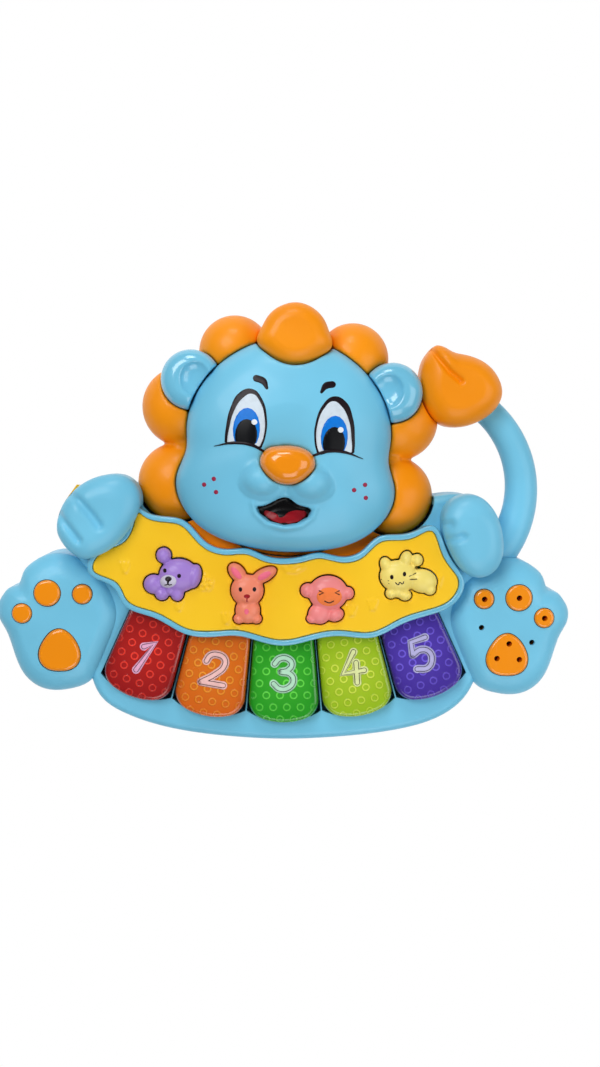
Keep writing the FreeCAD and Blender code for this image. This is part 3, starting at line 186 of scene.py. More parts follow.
def moulded(name, tint, rough=0.42, coat=0.0, grain=0.00003, spread=0.05, under_jaw=None):
    """Injection-moulded plastic: flow marks, a fine grain, wear, and another colour below the jaw."""
    finish = Finish(name, Coat_Weight=coat, Coat_Roughness=0.06, IOR=1.42, Specular_IOR_Level=0.35)
    flow = finish.noise(18, 2)
    wear = finish.noise(95, 5, 0.7)
    grit = finish.noise(2600, 2)
    deep = scaled(tint, 1 - spread * 1.6)
    pale = tuple(min(1, part * (1 + spread) + 0.004) for part in tint)
    base = finish.mix(flow.step(0.3, 0.7), deep, pale)
    if under_jaw:
        x, y, z = finish.axes()
        half_width, back, front, low = 0.052, 0.012, -0.03, 0.029
        inside = x.math("ABSOLUTE").math("LESS_THAN", half_width) * y.math("LESS_THAN", back)
        above = y.math("GREATER_THAN", front) * z.math("GREATER_THAN", low)
        base = finish.mix(inside * above, base, under_jaw)
    finish.set(Base_Color=base, Roughness=rough + wear.step(0.45, 0.75) * 0.10 + grit * 0.04)
    return finish.bump(grit + flow * 1.5, grain)


def glossy(name, tint, rough=0.16, spread=0.04):
    """Polished plastic with fine scratches."""
    finish = Finish(name, Coat_Weight=0.6, Coat_Roughness=0.05, IOR=1.5)
    flow = finish.noise(24, 2)
    scratch = finish.noise(420, 3, 0.6, (1, 0.06, 1))
    deep = scaled(tint, 1 - spread * 1.6)
    finish.set(Base_Color=finish.mix(flow.step(0.3, 0.7), deep, tint),
               Roughness=rough + scratch.step(0.55, 0.8) * 0.12)
    return finish.bump(flow * 0.6 + scratch * 0.2, 0.00004)


def painted(name, tint, rough=0.35):
    """Pad-printed ink with a slightly uneven film."""
    finish = Finish(name, Coat_Weight=0.05, Coat_Roughness=0.2, Specular_IOR_Level=0.2)
    film = finish.noise(320, 3)
    finish.set(Base_Color=finish.mix(film.step(0.35, 0.75), tint, scaled(tint, 0.9)),
               Roughness=rough + film * 0.12)
    return finish.bump(film, 0.000015)


def metal(name, tint, rough=0.3):
    """Brushed bare metal."""
    finish = Finish(name, Metallic=1.0)
    brushed = finish.noise(300, 3, 0.6, (1, 0.1, 1))
    finish.set(Base_Color=finish.mix(brushed.step(0.3, 0.7), tint, scaled(tint, 0.8)),
               Roughness=rough + brushed * 0.15)
    return finish.bump(brushed, 0.00002)


def clear_key(name, dark, lit_tint, angle):
    """Tinted clear plastic over a floor of moulded rings, lit from the middle of the key."""
    finish = Finish(name, Coat_Weight=0.7, Coat_Roughness=0.03, Coat_IOR=1.45)
    local = finish.node("ShaderNodeMapping", {"vector_type": "TEXTURE"},
                        {"Vector": finish.place, "Location": (0, FAN_CENTRE_Y * MM, 0),
                         "Rotation": (0, 0, angle)})
    across, along = (axis * 1000 for axis in finish.axes(local)[:2])
    pitch_x, pitch_y, ring_radius = 7.3, 6.5, 1.75
    # whole cells are added so that no sum is negative, and the phase slides the rings sideways
    spare_cells, phase = 100, 0.27
    row = (along * (1 / pitch_y)).math("FLOOR")
    shift = row.math("MODULO", 2).math("ABSOLUTE") * 0.5
    u = ((across * (1 / pitch_x) + shift + (spare_cells + phase)).math("FRACT") - 0.5) * pitch_x
    v = ((along * (1 / pitch_y) + spare_cells).math("FRACT") - 0.5) * pitch_y
    reach = (u * u + v * v).math("SQRT")
    ring = 1 - (reach - ring_radius).math("ABSOLUTE").step(0.22, 0.62)
    # painted glow: the colour brightens around a spot in the middle of the key, as if lit from inside
    away = (across.math("POWER", 2) + (along + GLOW_RADIUS).math("POWER", 2)).math("SQRT")
    glow = 1 - away.step(2, 26)
    # painted shade: the key darkens towards its long sides, standing in for the dark bevels of the clear
    # plastic
    side = across.math("ABSOLUTE").step(13, 20)
    mottle = finish.noise(70, 3)
    # painted highlights: the rings are lighter where light would catch their relief, most in the painted
    # glow and least at the sides
    lit = ring * (0.22 + glow * 0.5 + mottle * 0.25) * (1 - side * 0.9)
    body = finish.mix(lit + glow * 0.20 + mottle * 0.06, dark, lit_tint)
    # painted shade at the sides: the colour goes over to a darker copy of the dark tint
    finish.set(Base_Color=finish.mix(side * 0.75, body, scaled(dark, 0.55)),
               Roughness=0.22 + mottle * 0.08)
    return finish.bump(ring * (1 - side) + mottle * 0.15, 0.0006, 0.7)


FINISHES = {}


def make_finishes(colours):
    blue = tuple(colours.shell_blue)
    orange = tuple(colours.mane_orange)
    yellow = tuple(colours.panel_yellow)
    FINISHES.update({
        "shell": moulded("shell_blue", blue, 0.36, 0.12),
        "deck": moulded("deck_blue", blue, 0.36, 0.12, under_jaw=orange),
        "ear": glossy("ear_blue", blue, 0.18),
        "rim": glossy("rim_blue", scaled(blue, 0.92), 0.24),
        "mane": moulded("mane_orange", orange, 0.38, 0.10),
        "snout": glossy("snout_orange", orange, 0.2),
        "panel": moulded("panel_yellow", yellow, 0.34, 0.15),
        "bear": moulded("bear_purple", colour(168, 132, 216), 0.34, 0.2),
        "rabbit": moulded("rabbit_salmon", colour(250, 142, 112), 0.34, 0.2),
        "monkey": moulded("monkey_pink", colour(246, 140, 140), 0.34, 0.2),
        "cat": moulded("cat_yellow", colour(248, 226, 120), 0.34, 0.2),
        "ink_black": painted("ink_black", colour(26, 12, 20), 0.3),
        "ink_pupil": painted("ink_pupil", colour(4, 6, 12), 0.28),
        "ink_white": painted("ink_white", colour(214, 228, 240), 0.3),
        "ink_spark": painted("ink_spark", colour(240, 246, 252), 0.25),
        "ink_blue": painted("ink_blue", colour(0, 122, 224), 0.3),
        "ink_red": painted("ink_red", colour(160, 22, 34), 0.25),
        "ink_freckle": painted("ink_freckle", colour(160, 40, 72), 0.35),
        "ink_grey": painted("ink_grey", colour(206, 202, 222), 0.4),
        "ink_orange": painted("ink_orange", colour(252, 132, 66), 0.4),
        "ink_pink": painted("ink_pink", colour(246, 112, 140), 0.4),
        "hollow": painted("mouth_black", colour(8, 6, 8), 0.22),
        "switch": glossy("switch_yellow", colour(248, 196, 40)),
        "board": moulded("board_green", colour(30, 104, 58), 0.4, 0.4),
        "black": moulded("black_plastic", colour(28, 28, 30), 0.45),
        "white": moulded("white_plastic", colour(228, 228, 222), 0.4),
        "rubber": moulded("dome_rubber", colour(140, 142, 146), 0.7),
        "steel": metal("screw_steel", colour(168, 170, 174), 0.3),
        "nickel": metal("contact_nickel", colour(204, 204, 206), 0.22),
        "cell": moulded("cell_sleeve", colour(44, 56, 76), 0.3, 0.4),
    })


# ------------------------------------------------------------ mesh helpers
def tilt(x, y):
    """A point of the head's own frame, in the body's frame."""
    turned = Matrix.Rotation(HEAD_TURN, 2) @ Vector((x, y))
    return turned.x, turned.y


def key_turn(index):
    """A key's angle in the fan: the third stands straight."""
    return FAN_PITCH * (index - 2)


def cad_copy(node):
    """A merged copy of a CAD node's mesh."""
    bm = bmesh.new()
    bm.from_mesh(frame["nodes"][node].data)
    bmesh.ops.remove_doubles(bm, verts=bm.verts, dist=2e-6)
    return bm


def evaluated(data, prepare=None):
    """The mesh that an object with this data shows, after the modifiers that prepare adds."""
    thing = bpy.data.objects.new("work", data)
    bpy.context.scene.collection.objects.link(thing)
    if prepare:
        prepare(thing)
    bpy.context.view_layer.update()
    shown = thing.evaluated_get(bpy.context.evaluated_depsgraph_get())
    result = bpy.data.meshes.new_from_object(shown)
    bpy.data.objects.remove(thing)
    bm = bmesh.new()
    bm.from_mesh(result)
    bpy.data.meshes.remove(result)
    return bm


def relax(bm):
    """One pass of even smoothing."""
    bmesh.ops.smooth_vert(bm, verts=bm.verts, factor=0.5,
                          use_axis_x=True, use_axis_y=True, use_axis_z=True)


def softened(bm, voxel, passes):
    """The shape wrapped anew in an even skin and smoothed."""
    def wrap(thing):
        modifier = thing.modifiers.new("wrap", "REMESH")
        modifier.mode = "VOXEL"
        modifier.voxel_size = voxel * MM
    mesh = bpy.data.meshes.new("work")
    bm.to_mesh(mesh)
    bm.free()
    skin = evaluated(mesh, wrap)
    bpy.data.meshes.remove(mesh)
    for _ in range(passes):
        relax(skin)
    return skin


def finish_piece(bm, name, body, finish, replaces=(), sharp=None):
    """Makes the piece and rides it on its body. Edges over the sharp angle keep a crisp line."""
    for face in bm.faces:
        face.smooth = True
    if sharp:
        for edge in bm.edges:
            if len(edge.link_faces) == 2 and edge.calc_face_angle(0) > sharp:
                edge.smooth = False
    mesh = bpy.data.meshes.new(name)
    bm.to_mesh(mesh)
    bm.free()
    thing = bpy.data.objects.new(name, mesh)
    bpy.context.scene.collection.objects.link(thing)
    mesh.materials.append(FINISHES[finish] if isinstance(finish, str) else finish)
    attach(thing, body)
    if sharp:
        normals = thing.modifiers.new("even_normals", "WEIGHTED_NORMAL")
        normals.keep_sharp = True
        normals.weight = 80
    if replaces:
        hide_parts(*replaces)
    return thing


def surface_of(thing):
    return BVHTree.FromPolygons([v.co[:] for v in thing.data.vertices],
                                [p.vertices[:] for p in thing.data.polygons])


def height(surface, x, y):
    """The top of a surface above a place, in metres."""
    hit = surface.ray_cast(Vector((x, y, 0.2)), Vector((0, 0, -1)))[0]
    return hit.z if hit else 0


def flat_curve(points, closed, smooth):
    curve = bpy.data.curves.new("line", "CURVE")
    spline = curve.splines.new("BEZIER" if smooth else "POLY")
    store = spline.bezier_points if smooth else spline.points
    store.add(len(points) - 1)
    for knot, (x, y) in zip(store, points):
        knot.co = (x * MM, y * MM, 0) if smooth else (x * MM, y * MM, 0, 1)
        if smooth:
            knot.handle_left_type = knot.handle_right_type = "AUTO"
    spline.use_cyclic_u = closed
    spline.resolution_u = 8
    return curve


def slice_fine(bm, pitch):
    """Cuts a flat sheet along a square grid so that it can follow a curved surface."""
    for axis in (0, 1):
        values = [v.co[axis] for v in bm.verts]
        low, high = min(values), max(values)
        for step in range(1, int((high - low) / (pitch * MM)) + 1):
            point = [0, 0, 0]
            point[axis] = low + step * pitch * MM
            normal = [0, 0, 0]
            normal[axis] = 1
            geometry = bm.verts[:] + bm.edges[:] + bm.faces[:]
            bmesh.ops.bisect_plane(bm, geom=geometry, plane_co=point, plane_no=normal)


def settle(bm, surface, lift):
    for vert in bm.verts:
        vert.co.z += height(surface, vert.co.x, vert.co.y) + lift * MM


def patch(points, surface, lift, smooth=True, pitch=1.3):
    """A thin printed area inside a closed line."""
    curve = flat_curve(points, True, smooth)
    curve.dimensions = "2D"
    curve.fill_mode = "FRONT"
    bm = evaluated(curve)
    bmesh.ops.remove_doubles(bm, verts=bm.verts, dist=1e-6)
    if sum(face.normal.z for face in bm.faces) < 0:
        bmesh.ops.reverse_faces(bm, faces=bm.faces)
    slice_fine(bm, pitch)
    settle(bm, surface, lift)
    bmesh.ops.solidify(bm, geom=bm.faces[:], thickness=0.00025)
    return bm


def ellipse(x, y, wide, high, turn=0, count=20):
    turn = math.radians(turn)
    cos, sin = math.cos(turn), math.sin(turn)
    ring = []
    for step in range(count):
        angle = math.tau * step / count
        px, py = wide * math.cos(angle), high * math.sin(angle)
        ring.append((x + px * cos - py * sin, y + px * sin + py * cos))
    return ring


def stroke(points, half_width, rise, surface, lift, smooth=True, taper=None):
    """A printed or raised line with round ends: a flattened tube that follows the surface."""
    curve = flat_curve(points, False, smooth)
    curve.dimensions = "3D"
    curve.bevel_depth = half_width * MM
    curve.bevel_resolution = 2
    curve.use_fill_caps = True
    widths = taper or [1] * len(points)
    knots = curve.splines[0].bezier_points if smooth else curve.splines[0].points
    for knot, width in zip(knots, widths):
        knot.radius = width
    bm = evaluated(curve)
    for (x, y), width in ((points[0], widths[0]), (points[-1], widths[-1])):
        bmesh.ops.create_uvsphere(bm, u_segments=12, v_segments=8, radius=half_width * width * MM,
                                  matrix=Matrix.Translation((x * MM, y * MM, 0)))
    for vert in bm.verts:
        vert.co.z *= rise / half_width
    settle(bm, surface, lift)
    return bm


def merged(parts):
    """Several meshes as one."""
    whole = bmesh.new()
    for part in parts:
        mesh = bpy.data.meshes.new("part")
        part.to_mesh(mesh)
        part.free()
        whole.from_mesh(mesh)
        bpy.data.meshes.remove(mesh)
    return whole


def head_points(points):
    return [tilt(x, y) for x, y in points]


def near_line(x, y, points):
    """The distance from a point to a bent line."""
    best = 1e9
    spot = Vector((x, y))
    for a, b in zip(points, points[1:]):
        first, second = Vector(a), Vector(b)
        run = second - first
        share = max(0, min(1, (spot - first).dot(run) / max(run.length_squared, 1e-9)))
        best = min(best, (spot - first - run * share).length)
    return best


def carve(bm, lines, width, depth, low_z):
    """Presses soft grooves into the upper skin, or raises ridges where the depth is negative."""
    boxes = []
    for line in lines:
        xs, ys = [p[0] for p in line], [p[1] for p in line]
        edge = 3 * width
        boxes.append((min(xs) - edge, max(xs) + edge, min(ys) - edge, max(ys) + edge, line))
    for vert in bm.verts:
        x, y = vert.co.x / MM, vert.co.y / MM
        if vert.co.z / MM < low_z or vert.normal.z < FACING_UP:
            continue
        for left, right, low, high, line in boxes:
            if left < x < right and low < y < high:
                away = near_line(x, y, line)
                vert.co.z -= depth * MM * math.exp(-(away / width) ** 2)


# ------------------------------------------------------------ the pieces
SHELLS = (("back_cover", "shell", 0.6), ("base_housing", "deck", 0.6), ("tail_front", "shell", 0.6),
          ("tail_back", "shell", 0.6), ("battery_door", "shell", 0.5), ("speaker_grille", "snout", 0.7),
          ("mode_button", "snout", 0.7), ("power_switch_knob", "switch", 0.6))
INNER_FINISHES = {
    "board": ("key_board", "panel_board", "paw_board", "main_board"),
    "rubber": ("key_domes", "panel_domes", "paw_domes"),
    "white": ("key_chassis", "key_lamps"),
    "cell": ("batteries",),
    "nickel": ("battery_contacts",),
    "black": ("speaker_basket", "speaker_cone", "power_switch_body", "chip", "capacitor"),
    "steel": ("speaker_magnet", "housing_screws", "head_screws", "board_screws", "battery_door_screw"),
}


def build_shells(look):
    """The hard-edged mouldings, as the CAD shape with its facets shaded round, and the inner parts."""
    bodies = frame["record"]["behaviour"]["bodies"]
    for node, finish, sharp in SHELLS:
        body = next(name for name, nodes in bodies.items() if node in nodes)
        finish_piece(cad_copy(node), node + "_skin", body, finish, (node,), sharp)
    for node in TOE_BUTTONS:
        finish_piece(cad_copy(node), node + "_skin", node, "snout", (node,), sharp=0.7)
    for finish, nodes in INNER_FINISHES.items():
        for node in nodes:
            thing = frame["nodes"][node]
            for slot in thing.material_slots:
                slot.material = FINISHES[finish]


def build_mane(look):
    skin = softened(cad_copy("mane"), look.skin_voxel, look.skin_passes)
    finish_piece(skin, "mane_skin", "lion", "mane", ("mane",))
    lock = softened(cad_copy("forelock"), look.skin_voxel, look.skin_passes)
    finish_piece(lock, "forelock_skin", "lion", "mane", ("forelock",))


def build_ears(look):
    for node in ("left_ear", "right_ear"):
        skin = softened(cad_copy(node), voxel=0.6, passes=10)
        finish_piece(skin, node + "_skin", "lion", "ear", (node,))


EYE_OUTLINE = ((-10.9, 38.7), (-11.2, 40.4), (-11, 46), (-9.4, 56), (-5, 64.6), (1.2, 66.7),
               (6.4, 62.2), (9.7, 52), (9.6, 43.6), (8.3, 38.6), (7.5, 37.1), (0, 38.9))
EYE_WHITE = ((-9.6, 38.9), (-9.8, 40.2), (-9.2, 46), (-7.4, 54.6), (-3, 62), (1.4, 64.2),
             (5.5, 60.6), (8.6, 51.6), (8.6, 43.6), (7.3, 39), (6.5, 37.8), (0, 39.2))
LID_LEVEL = 38.7
# for each eye: its side, its shift, the lid line with its taper, and the brow from its outer end
EYES = (
    (-1, (-21.2, 0), ((-37.7, 36.5), (-27.2, 38.9), (-18, 38.2), (-12.4, 35.7)), (0.2, 1, 1.1, 0.8),
     ((-18.3, 72.2), (-14.6, 70.9), (-12.6, 67.6))),
    (1, (22.8, -1.1), ((13.3, 35.1), (20, 37.6), (28.5, 37.8), (38.7, 34.9)), (0.8, 1.1, 1, 0.2),
     ((20.6, 71.6), (17.4, 70.7), (15.2, 67.4))),
)
FRECKLES = ((-36.8, 19.8), (-41.7, 16.5), (-35.3, 13.1), (40.7, 21.7), (35.2, 18.7), (41.6, 15.0))
SMILE = ((-16, 8.4), (-14.6, 3.6), (-8.4, -1.8), (0.8, -3.4), (9.4, -1.8), (15, 3.4), (16.2, 8.2))


def build_face(look):
    """The face and what is printed on it."""
    skin = softened(cad_copy("face"), look.skin_voxel, look.skin_passes)
    skin.normal_update()
    swell_muzzle(skin)
    face = finish_piece(skin, "face_skin", "lion", "shell", ("face",))
    surface = surface_of(face)
    print_eyes(surface)
    dots = [patch(head_points(ellipse(x, y, 1.15, 1.15, 0, 12)), surface, 0.05) for x, y in FRECKLES]
    finish_piece(merged(dots), "freckles", "lion", "ink_freckle")
    nose = softened(cad_copy("nose"), voxel=0.5, passes=12)
    finish_piece(nose, "nose_skin", "lion", "snout", ("nose",))


def print_eyes(surface):
    """Each ink of both eyes is one piece, printed over the one before it."""
    black, white, blue, pupil, spark = [], [], [], [], []
    for side, (shift_x, shift_y), lid, taper, brow in EYES:
        def placed(points, side=side, shift_x=shift_x, shift_y=shift_y):
            return head_points([(shift_x - side * x, shift_y + y) for x, y in points])
        black.append(patch(placed(EYE_OUTLINE), surface, 0.05))
        white.append(patch(placed(EYE_WHITE), surface, 0.12))
        iris, centre = ellipse(-0.4, 46, 6.9, 11), ellipse(-0.4, 43, 5.7, 8.3)
        blue.append(patch(placed(clipped(iris, LID_LEVEL)), surface, 0.19, False))
        pupil.append(patch(placed(clipped(centre, LID_LEVEL)), surface, 0.26, False))
        glint = ellipse(shift_x + 3.4, shift_y + 50.0, 1.5, 1.4)
        spark.append(patch(head_points(glint), surface, 0.34))
        black.append(stroke(head_points(lid), 0.75, 0.3, surface, 0.28, taper=taper))
        black.append(stroke(head_points(brow), 1.75, 0.2, surface, 0.02, taper=(1, 1, 0.45)))
    for name, parts, finish in (("eye_lines", black, "ink_black"), ("eye_whites", white, "ink_white"),
                                ("irises", blue, "ink_blue"), ("pupils", pupil, "ink_pupil"),
                                ("eye_sparks", spark, "ink_spark")):
        finish_piece(merged(parts), name, "lion", finish)


def swell_muzzle(skin):
    """Two full lips that meet in a crease below the nose, over a soft chin."""
    for vert in skin.verts:
        if vert.normal.z < FACING_UP:
            continue
        local = Matrix.Rotation(-HEAD_TURN, 2) @ Vector((vert.co.x / MM, vert.co.y / MM))
        lift = 0
        for middle in (-11.6, 12.6):
            reach = ((local.x - middle) / 12.6) ** 2 + ((local.y - 19.2) / 8.8) ** 2
            lift = max(lift, 2.4 * math.sqrt(max(0, 1 - reach)))
        rim = math.exp(-((near_line(local.x, local.y, SMILE) / 1.3) ** 2))
        chin = math.exp(-(((local.x - 0.6) / 15) ** 2 + ((local.y + 8) / 6) ** 2))
        vert.co.z += (lift + 1.0 * rim + 0.8 * chin) * MM
    relax(skin)


def clipped(points, low):
    """A closed line cut off along a level."""
    return [(x, max(y, low)) for x, y in points]


def build_hands(look):
    creases = {"left_hand": (((-113, 15), (-105.5, 11), (-99, 3.5), (-95, -2)),
                             ((-122.5, 6), (-116, 3.4), (-111, -3), (-106, -9.6))),
               "right_hand": (((75, -5), (81, -3), (86.5, -1.5)),
                              ((81, -13), (86.5, -10), (93, -8)))}
    for node, lines in creases.items():
        skin = softened(cad_copy(node), 0.7, look.skin_passes)
        skin.normal_update()
        carve(skin, lines, width=2.0, depth=2.6, low_z=30)
        relax(skin)
        finish_piece(skin, node + "_skin", "lion", "shell", (node,))


def build_tuft(look):
    skin = softened(cad_copy("tail_tuft"), 0.7, look.skin_passes)
    skin.normal_update()
    groove = ((76.5, 92), (80.8, 84.6), (86, 77.7), (92.4, 72.5))
    carve(skin, (groove,), width=1.3, depth=3.0, low_z=20)
    relax(skin)
    finish_piece(skin, "tail_tuft_skin", "lion", "mane", ("tail_tuft",))


GRASS_TUFTS = ((-83, -25), (-64, -40), (-55, -45), (-30, -52), (-25, -54), (22, -52), (36, -48),
               (47, -45), (81, -33))
PETAL_ANGLES = (0.3, 1.6, 2.9, 4.1, 5.4)
FLOWER_X, FLOWER_Y = -41, -33
CLOUD = ((-1, -24), (2, -22.6), (5, -24.4), (8, -23), (11, -25), (7, -27.4), (2, -27), (-1, -24))


def build_panel(look):
    """The song sheet with its raised plants, and the blue rim that holds it."""
    skin = softened(cad_copy("song_panel"), voxel=0.6, passes=2)
    skin.normal_update()
    grass = []
    for x, y in GRASS_TUFTS:
        for lean in (-2.2, 0, 2.2):
            grass.append(((x + lean * 0.4, y - 2), (x + lean, y + 2.6)))
    outlines = []
    for angle in PETAL_ANGLES:
        petal = ellipse(FLOWER_X + 2.6 * math.cos(angle), FLOWER_Y + 2.6 * math.sin(angle), 1.5, 1.5, 0, 8)
        outlines.append(petal + petal[:1])
    carve(skin, grass, width=0.85, depth=-0.5, low_z=40)
    carve(skin, outlines + [CLOUD], width=0.8, depth=-0.7, low_z=40)
    finish_piece(skin, "song_panel_skin", "lion", "panel", ("song_panel",))
    rim = softened(cad_copy("panel_frame"), voxel=0.45, passes=6)
    finish_piece(rim, "panel_frame_skin", "lion", "rim", ("panel_frame",))


# each key's node, dark tint, the bright tint of its painted glow and ring highlights, ink, and the middle
# of its number from the fan's centre
KEYS = (
    ("red_key", (150, 2, 8), (255, 60, 44), (240, 178, 212), 216),
    ("orange_key", (216, 96, 0), (255, 160, 40), (250, 200, 196), 213.5),
    ("green_key", (8, 150, 8), (110, 240, 80), (190, 236, 206), 212.5),
    ("yellow_key", (150, 190, 0), (226, 246, 80), (232, 240, 170), 212.5),
    ("purple_key", (60, 32, 150), (120, 96, 236), (190, 186, 232), 215),
)


def build_keys(look):
    for index, (node, dark, lit_tint, tint, radius) in enumerate(KEYS):
        glass = clear_key(node + "_clear", colour(*dark), colour(*lit_tint), key_turn(index))
        key = finish_piece(cad_copy(node), node + "_skin", node, glass, (node,), sharp=0.9)
        surface = surface_of(key)
        ink = painted(node + "_ink", colour(*tint), 0.3)
        black = FINISHES["ink_black"]
        for label, half_width, rise, lift, finish in (("digit", 2.25, 0.16, 0.02, ink),
                                                      ("digit_line", 1.45, 0.07, 0.15, black),
                                                      ("digit_fill", 1.12, 0.07, 0.22, ink)):
            parts = [stroke(line, half_width, rise, surface, lift, smooth)
                     for smooth, line in digit_lines(index, radius, look.digit_height)]
            finish_piece(merged(parts), "%s_%s" % (node, label), node, finish)


# the strokes of the numbers 1 to 5, in shares of their height, each smooth or straight
GLYPHS = (
    ((False, ((-0.13, 0.24), (0.12, 0.42), (-0.12, -0.42))),),
    ((True, ((-0.25, 0.20), (-0.17, 0.36), (0.03, 0.42), (0.22, 0.33), (0.24, 0.14), (0.06, -0.10),
             (-0.30, -0.38))),
     (False, ((-0.30, -0.38), (0.30, -0.38)))),
    ((True, ((-0.24, 0.27), (-0.10, 0.41), (0.12, 0.40), (0.22, 0.26), (0.12, 0.10), (-0.06, 0.05))),
     (True, ((-0.06, 0.05), (0.18, -0.01), (0.26, -0.18), (0.14, -0.37), (-0.10, -0.41),
             (-0.27, -0.27)))),
    ((False, ((0.10, 0.42), (-0.28, -0.12), (0.30, -0.12))), (False, ((0.12, 0.12), (0.06, -0.42)))),
    ((False, ((0.26, 0.40), (-0.14, 0.40), (-0.20, 0.06))),
     (True, ((-0.20, 0.06), (0.04, 0.12), (0.23, 0.00), (0.24, -0.22), (0.06, -0.40), (-0.22, -0.34)))))


def digit_lines(index, radius, size):
    """The strokes of a key's number, on the key."""
    turn = key_turn(index)
    result = []
    for smooth, line in GLYPHS[index]:
        placed = []
        for x, y in line:
            across, along = x * size, y * size - radius
            placed.append((across * math.cos(turn) - along * math.sin(turn),
                           across * math.sin(turn) + along * math.cos(turn) + FAN_CENTRE_Y))
        result.append((smooth, placed))
    return result


class FacePrint:
    """The inks on one animal button, placed from the animal's middle."""

    def __init__(self, surface, middle):
        self.surface = surface
        self.middle = middle
        self.parts = {}

    def dot(self, ink, x, y, wide, high, turn=0, lift=0.05):
        outline = ellipse(self.middle[0] + x, self.middle[1] + y, wide, high, turn)
        self.parts.setdefault(ink, []).append(patch(outline, self.surface, lift, pitch=0.8))

    def line(self, ink, points, half_width, lift=0.05, smooth=True):
        placed = [(self.middle[0] + x, self.middle[1] + y) for x, y in points]
        part = stroke(placed, half_width, 0.1, self.surface, lift, smooth)
        self.parts.setdefault(ink, []).append(part)


def print_bear(face):
    face.dot("ink_grey", -3.6, -3.6, 4.4, 3.4, 10)
    face.dot("ink_black", -3.4, -2.2, 1.7, 1.3, lift=0.12)
    mouth = ((-5.2, -5.4), (-3.9, -5), (-3.5, -3), (-3.2, -5.2), (-1.8, -5.2))
    face.line("ink_black", mouth, 0.28, 0.14)
    for x, y in ((-5.4, 2.0), (2.2, -0.6)):
        face.dot("ink_black", x, y, 1, 1.1)


def print_rabbit(face):
    for x in (-3.4, 3.9):
        face.dot("ink_black", x, 2.2, 0.95, 1.2)
    face.dot("ink_red", 0, -1.4, 1.6, 1.1)
    face.line("ink_red", ((0, -2.4), (0, -4.2)), 0.3)
    face.dot("ink_pink", -0.3, -9.6, 1.2, 1.5)
    for x, y, turn in ((-5.6, 10.6, 40), (9, 9.2, -62)):
        face.dot("ink_pink", x, y, 1.7, 3.8, turn)


def print_monkey(face):
    face.dot("ink_orange", 1, 0.2, 6.6, 5)
    for side in (-1, 1):
        wink = ((1 + 5.2 * side, 3.4), (1 + 3 * side, 2.4), (1 + 5.2 * side, 1.4))
        face.line("ink_black", wink, 0.3, 0.14, False)
    face.line("ink_black", ((-1.4, -2.0), (1, -2.9), (3.2, -2.0)), 0.3, 0.14)


def print_cat(face):
    for x, y in ((-8.4, 0.6), (-1.8, 2.2)):
        face.dot("ink_black", x, y, 0.9, 1.2)
    face.line("ink_black", ((-6.4, -2.4), (-5, -3.4), (-4.2, -2.2), (-2.8, -3), (-2.2, -1.8)), 0.28)
    for whisker in (((-13.6, -1), (-10, -1.4)), ((-13, -3.4), (-9.8, -3)), ((0.8, 1), (4.4, 2.4)),
                    ((1.2, -0.8), (4.8, -0.6))):
        face.line("ink_black", whisker, 0.22, smooth=False)


ANIMALS = (("bear", (-56.5, -28), print_bear), ("rabbit", (-19, -38), print_rabbit),
           ("monkey", (23, -40), print_monkey), ("cat", (65, -30), print_cat))
SOLE_TRIM = 0.45


def build_animals(look):
    """The buttons, each with its sole trimmed so that it stays off the rubber domes when pressed."""
    for name, middle, print_face in ANIMALS:
        node = name + "_button"
        skin = softened(cad_copy(node), voxel=0.4, passes=5)
        sole = min(vert.co.z for vert in skin.verts) + SOLE_TRIM * MM
        for vert in skin.verts:
            vert.co.z = max(vert.co.z, sole)
        button = finish_piece(skin, node + "_skin", node, name, (node,))
        face = FacePrint(surface_of(button), middle)
        print_face(face)
        for ink, parts in face.parts.items():
            finish_piece(merged(parts), "%s_%s" % (name, ink), node, ink)


MOUTH = ((-14, 7.2), (-7.4, 9.1), (-2.7, 12), (0, 12.8), (2.9, 12), (7.4, 9.1), (14, 7.2),
         (12.4, 3.2), (7.1, -0.2), (0.5, -1.6), (-6.8, -0.2), (-12.3, 3.5))
TONGUE = ((-10.2, 4.3), (-6.8, 4.6), (-3.4, 3.4), (-2, 2.0), (3.1, 5.2), (8.3, 6.1), (11.6, 5.2),
          (9.6, 1.9), (5.4, -0.2), (1, -0.9), (-3.4, -0.5), (-6.9, 0.9))


def build_mouth(look):
    surface = surface_of(bpy.data.objects["face_skin"])
    lining = patch(head_points(MOUTH), surface, 0.1, False)
    finish_piece(lining, "mouth_lining", "lion", "hollow")
    finish_piece(patch(head_points(TONGUE), surface, 0.4), "tongue_print", "lion", "ink_red")


# ------------------------------------------------------------ the stage
FLOOR_DROP = 0.5
LENS = 39.04
CAMERA_PLACE = Vector((0.004, 0.045, 0.645))
CAMERA_AIM = Vector((0.00884, -0.0083, 0.025))


def build_stage(look):
    scene = bpy.context.scene
    build_floor(scene)
    build_sky(scene, look.world_strength)
    build_lamps(scene, look.key_power)
    build_camera(scene)
    scene.view_settings.view_transform = "Standard"


def floor_finish():
    """White to camera, glossy and transmission rays, painted to the rest, and clear from below."""
    finish = Finish("floor_white", Roughness=0.9, Base_Color=(0.93, 0.93, 0.93))
    clear = finish.node("ShaderNodeBsdfTransparent", {}, {})
    back = finish.node("ShaderNodeNewGeometry", {}, {}, "Backfacing")
    rays = finish.tree.nodes.new("ShaderNodeLightPath").outputs
    kinds = ("Camera", "Glossy", "Transmission")
    seen = sum((Wire(finish, rays["Is %s Ray" % kind]) for kind in kinds), 0.0)
    white = finish.node("ShaderNodeEmission", {}, {"Color": (1, 1, 1), "Strength": 1.0})
    paint = Wire(finish, finish.shader.outputs[0])
    lit = finish.node("ShaderNodeMixShader", {}, {0: seen.math("MINIMUM", 1), 1: paint, 2: white})
    joined = finish.node("ShaderNodeMixShader", {}, {0: back, 1: lit, 2: clear})
    finish.feed(finish.tree.nodes["Material Output"], "Surface", joined)
    return finish.material


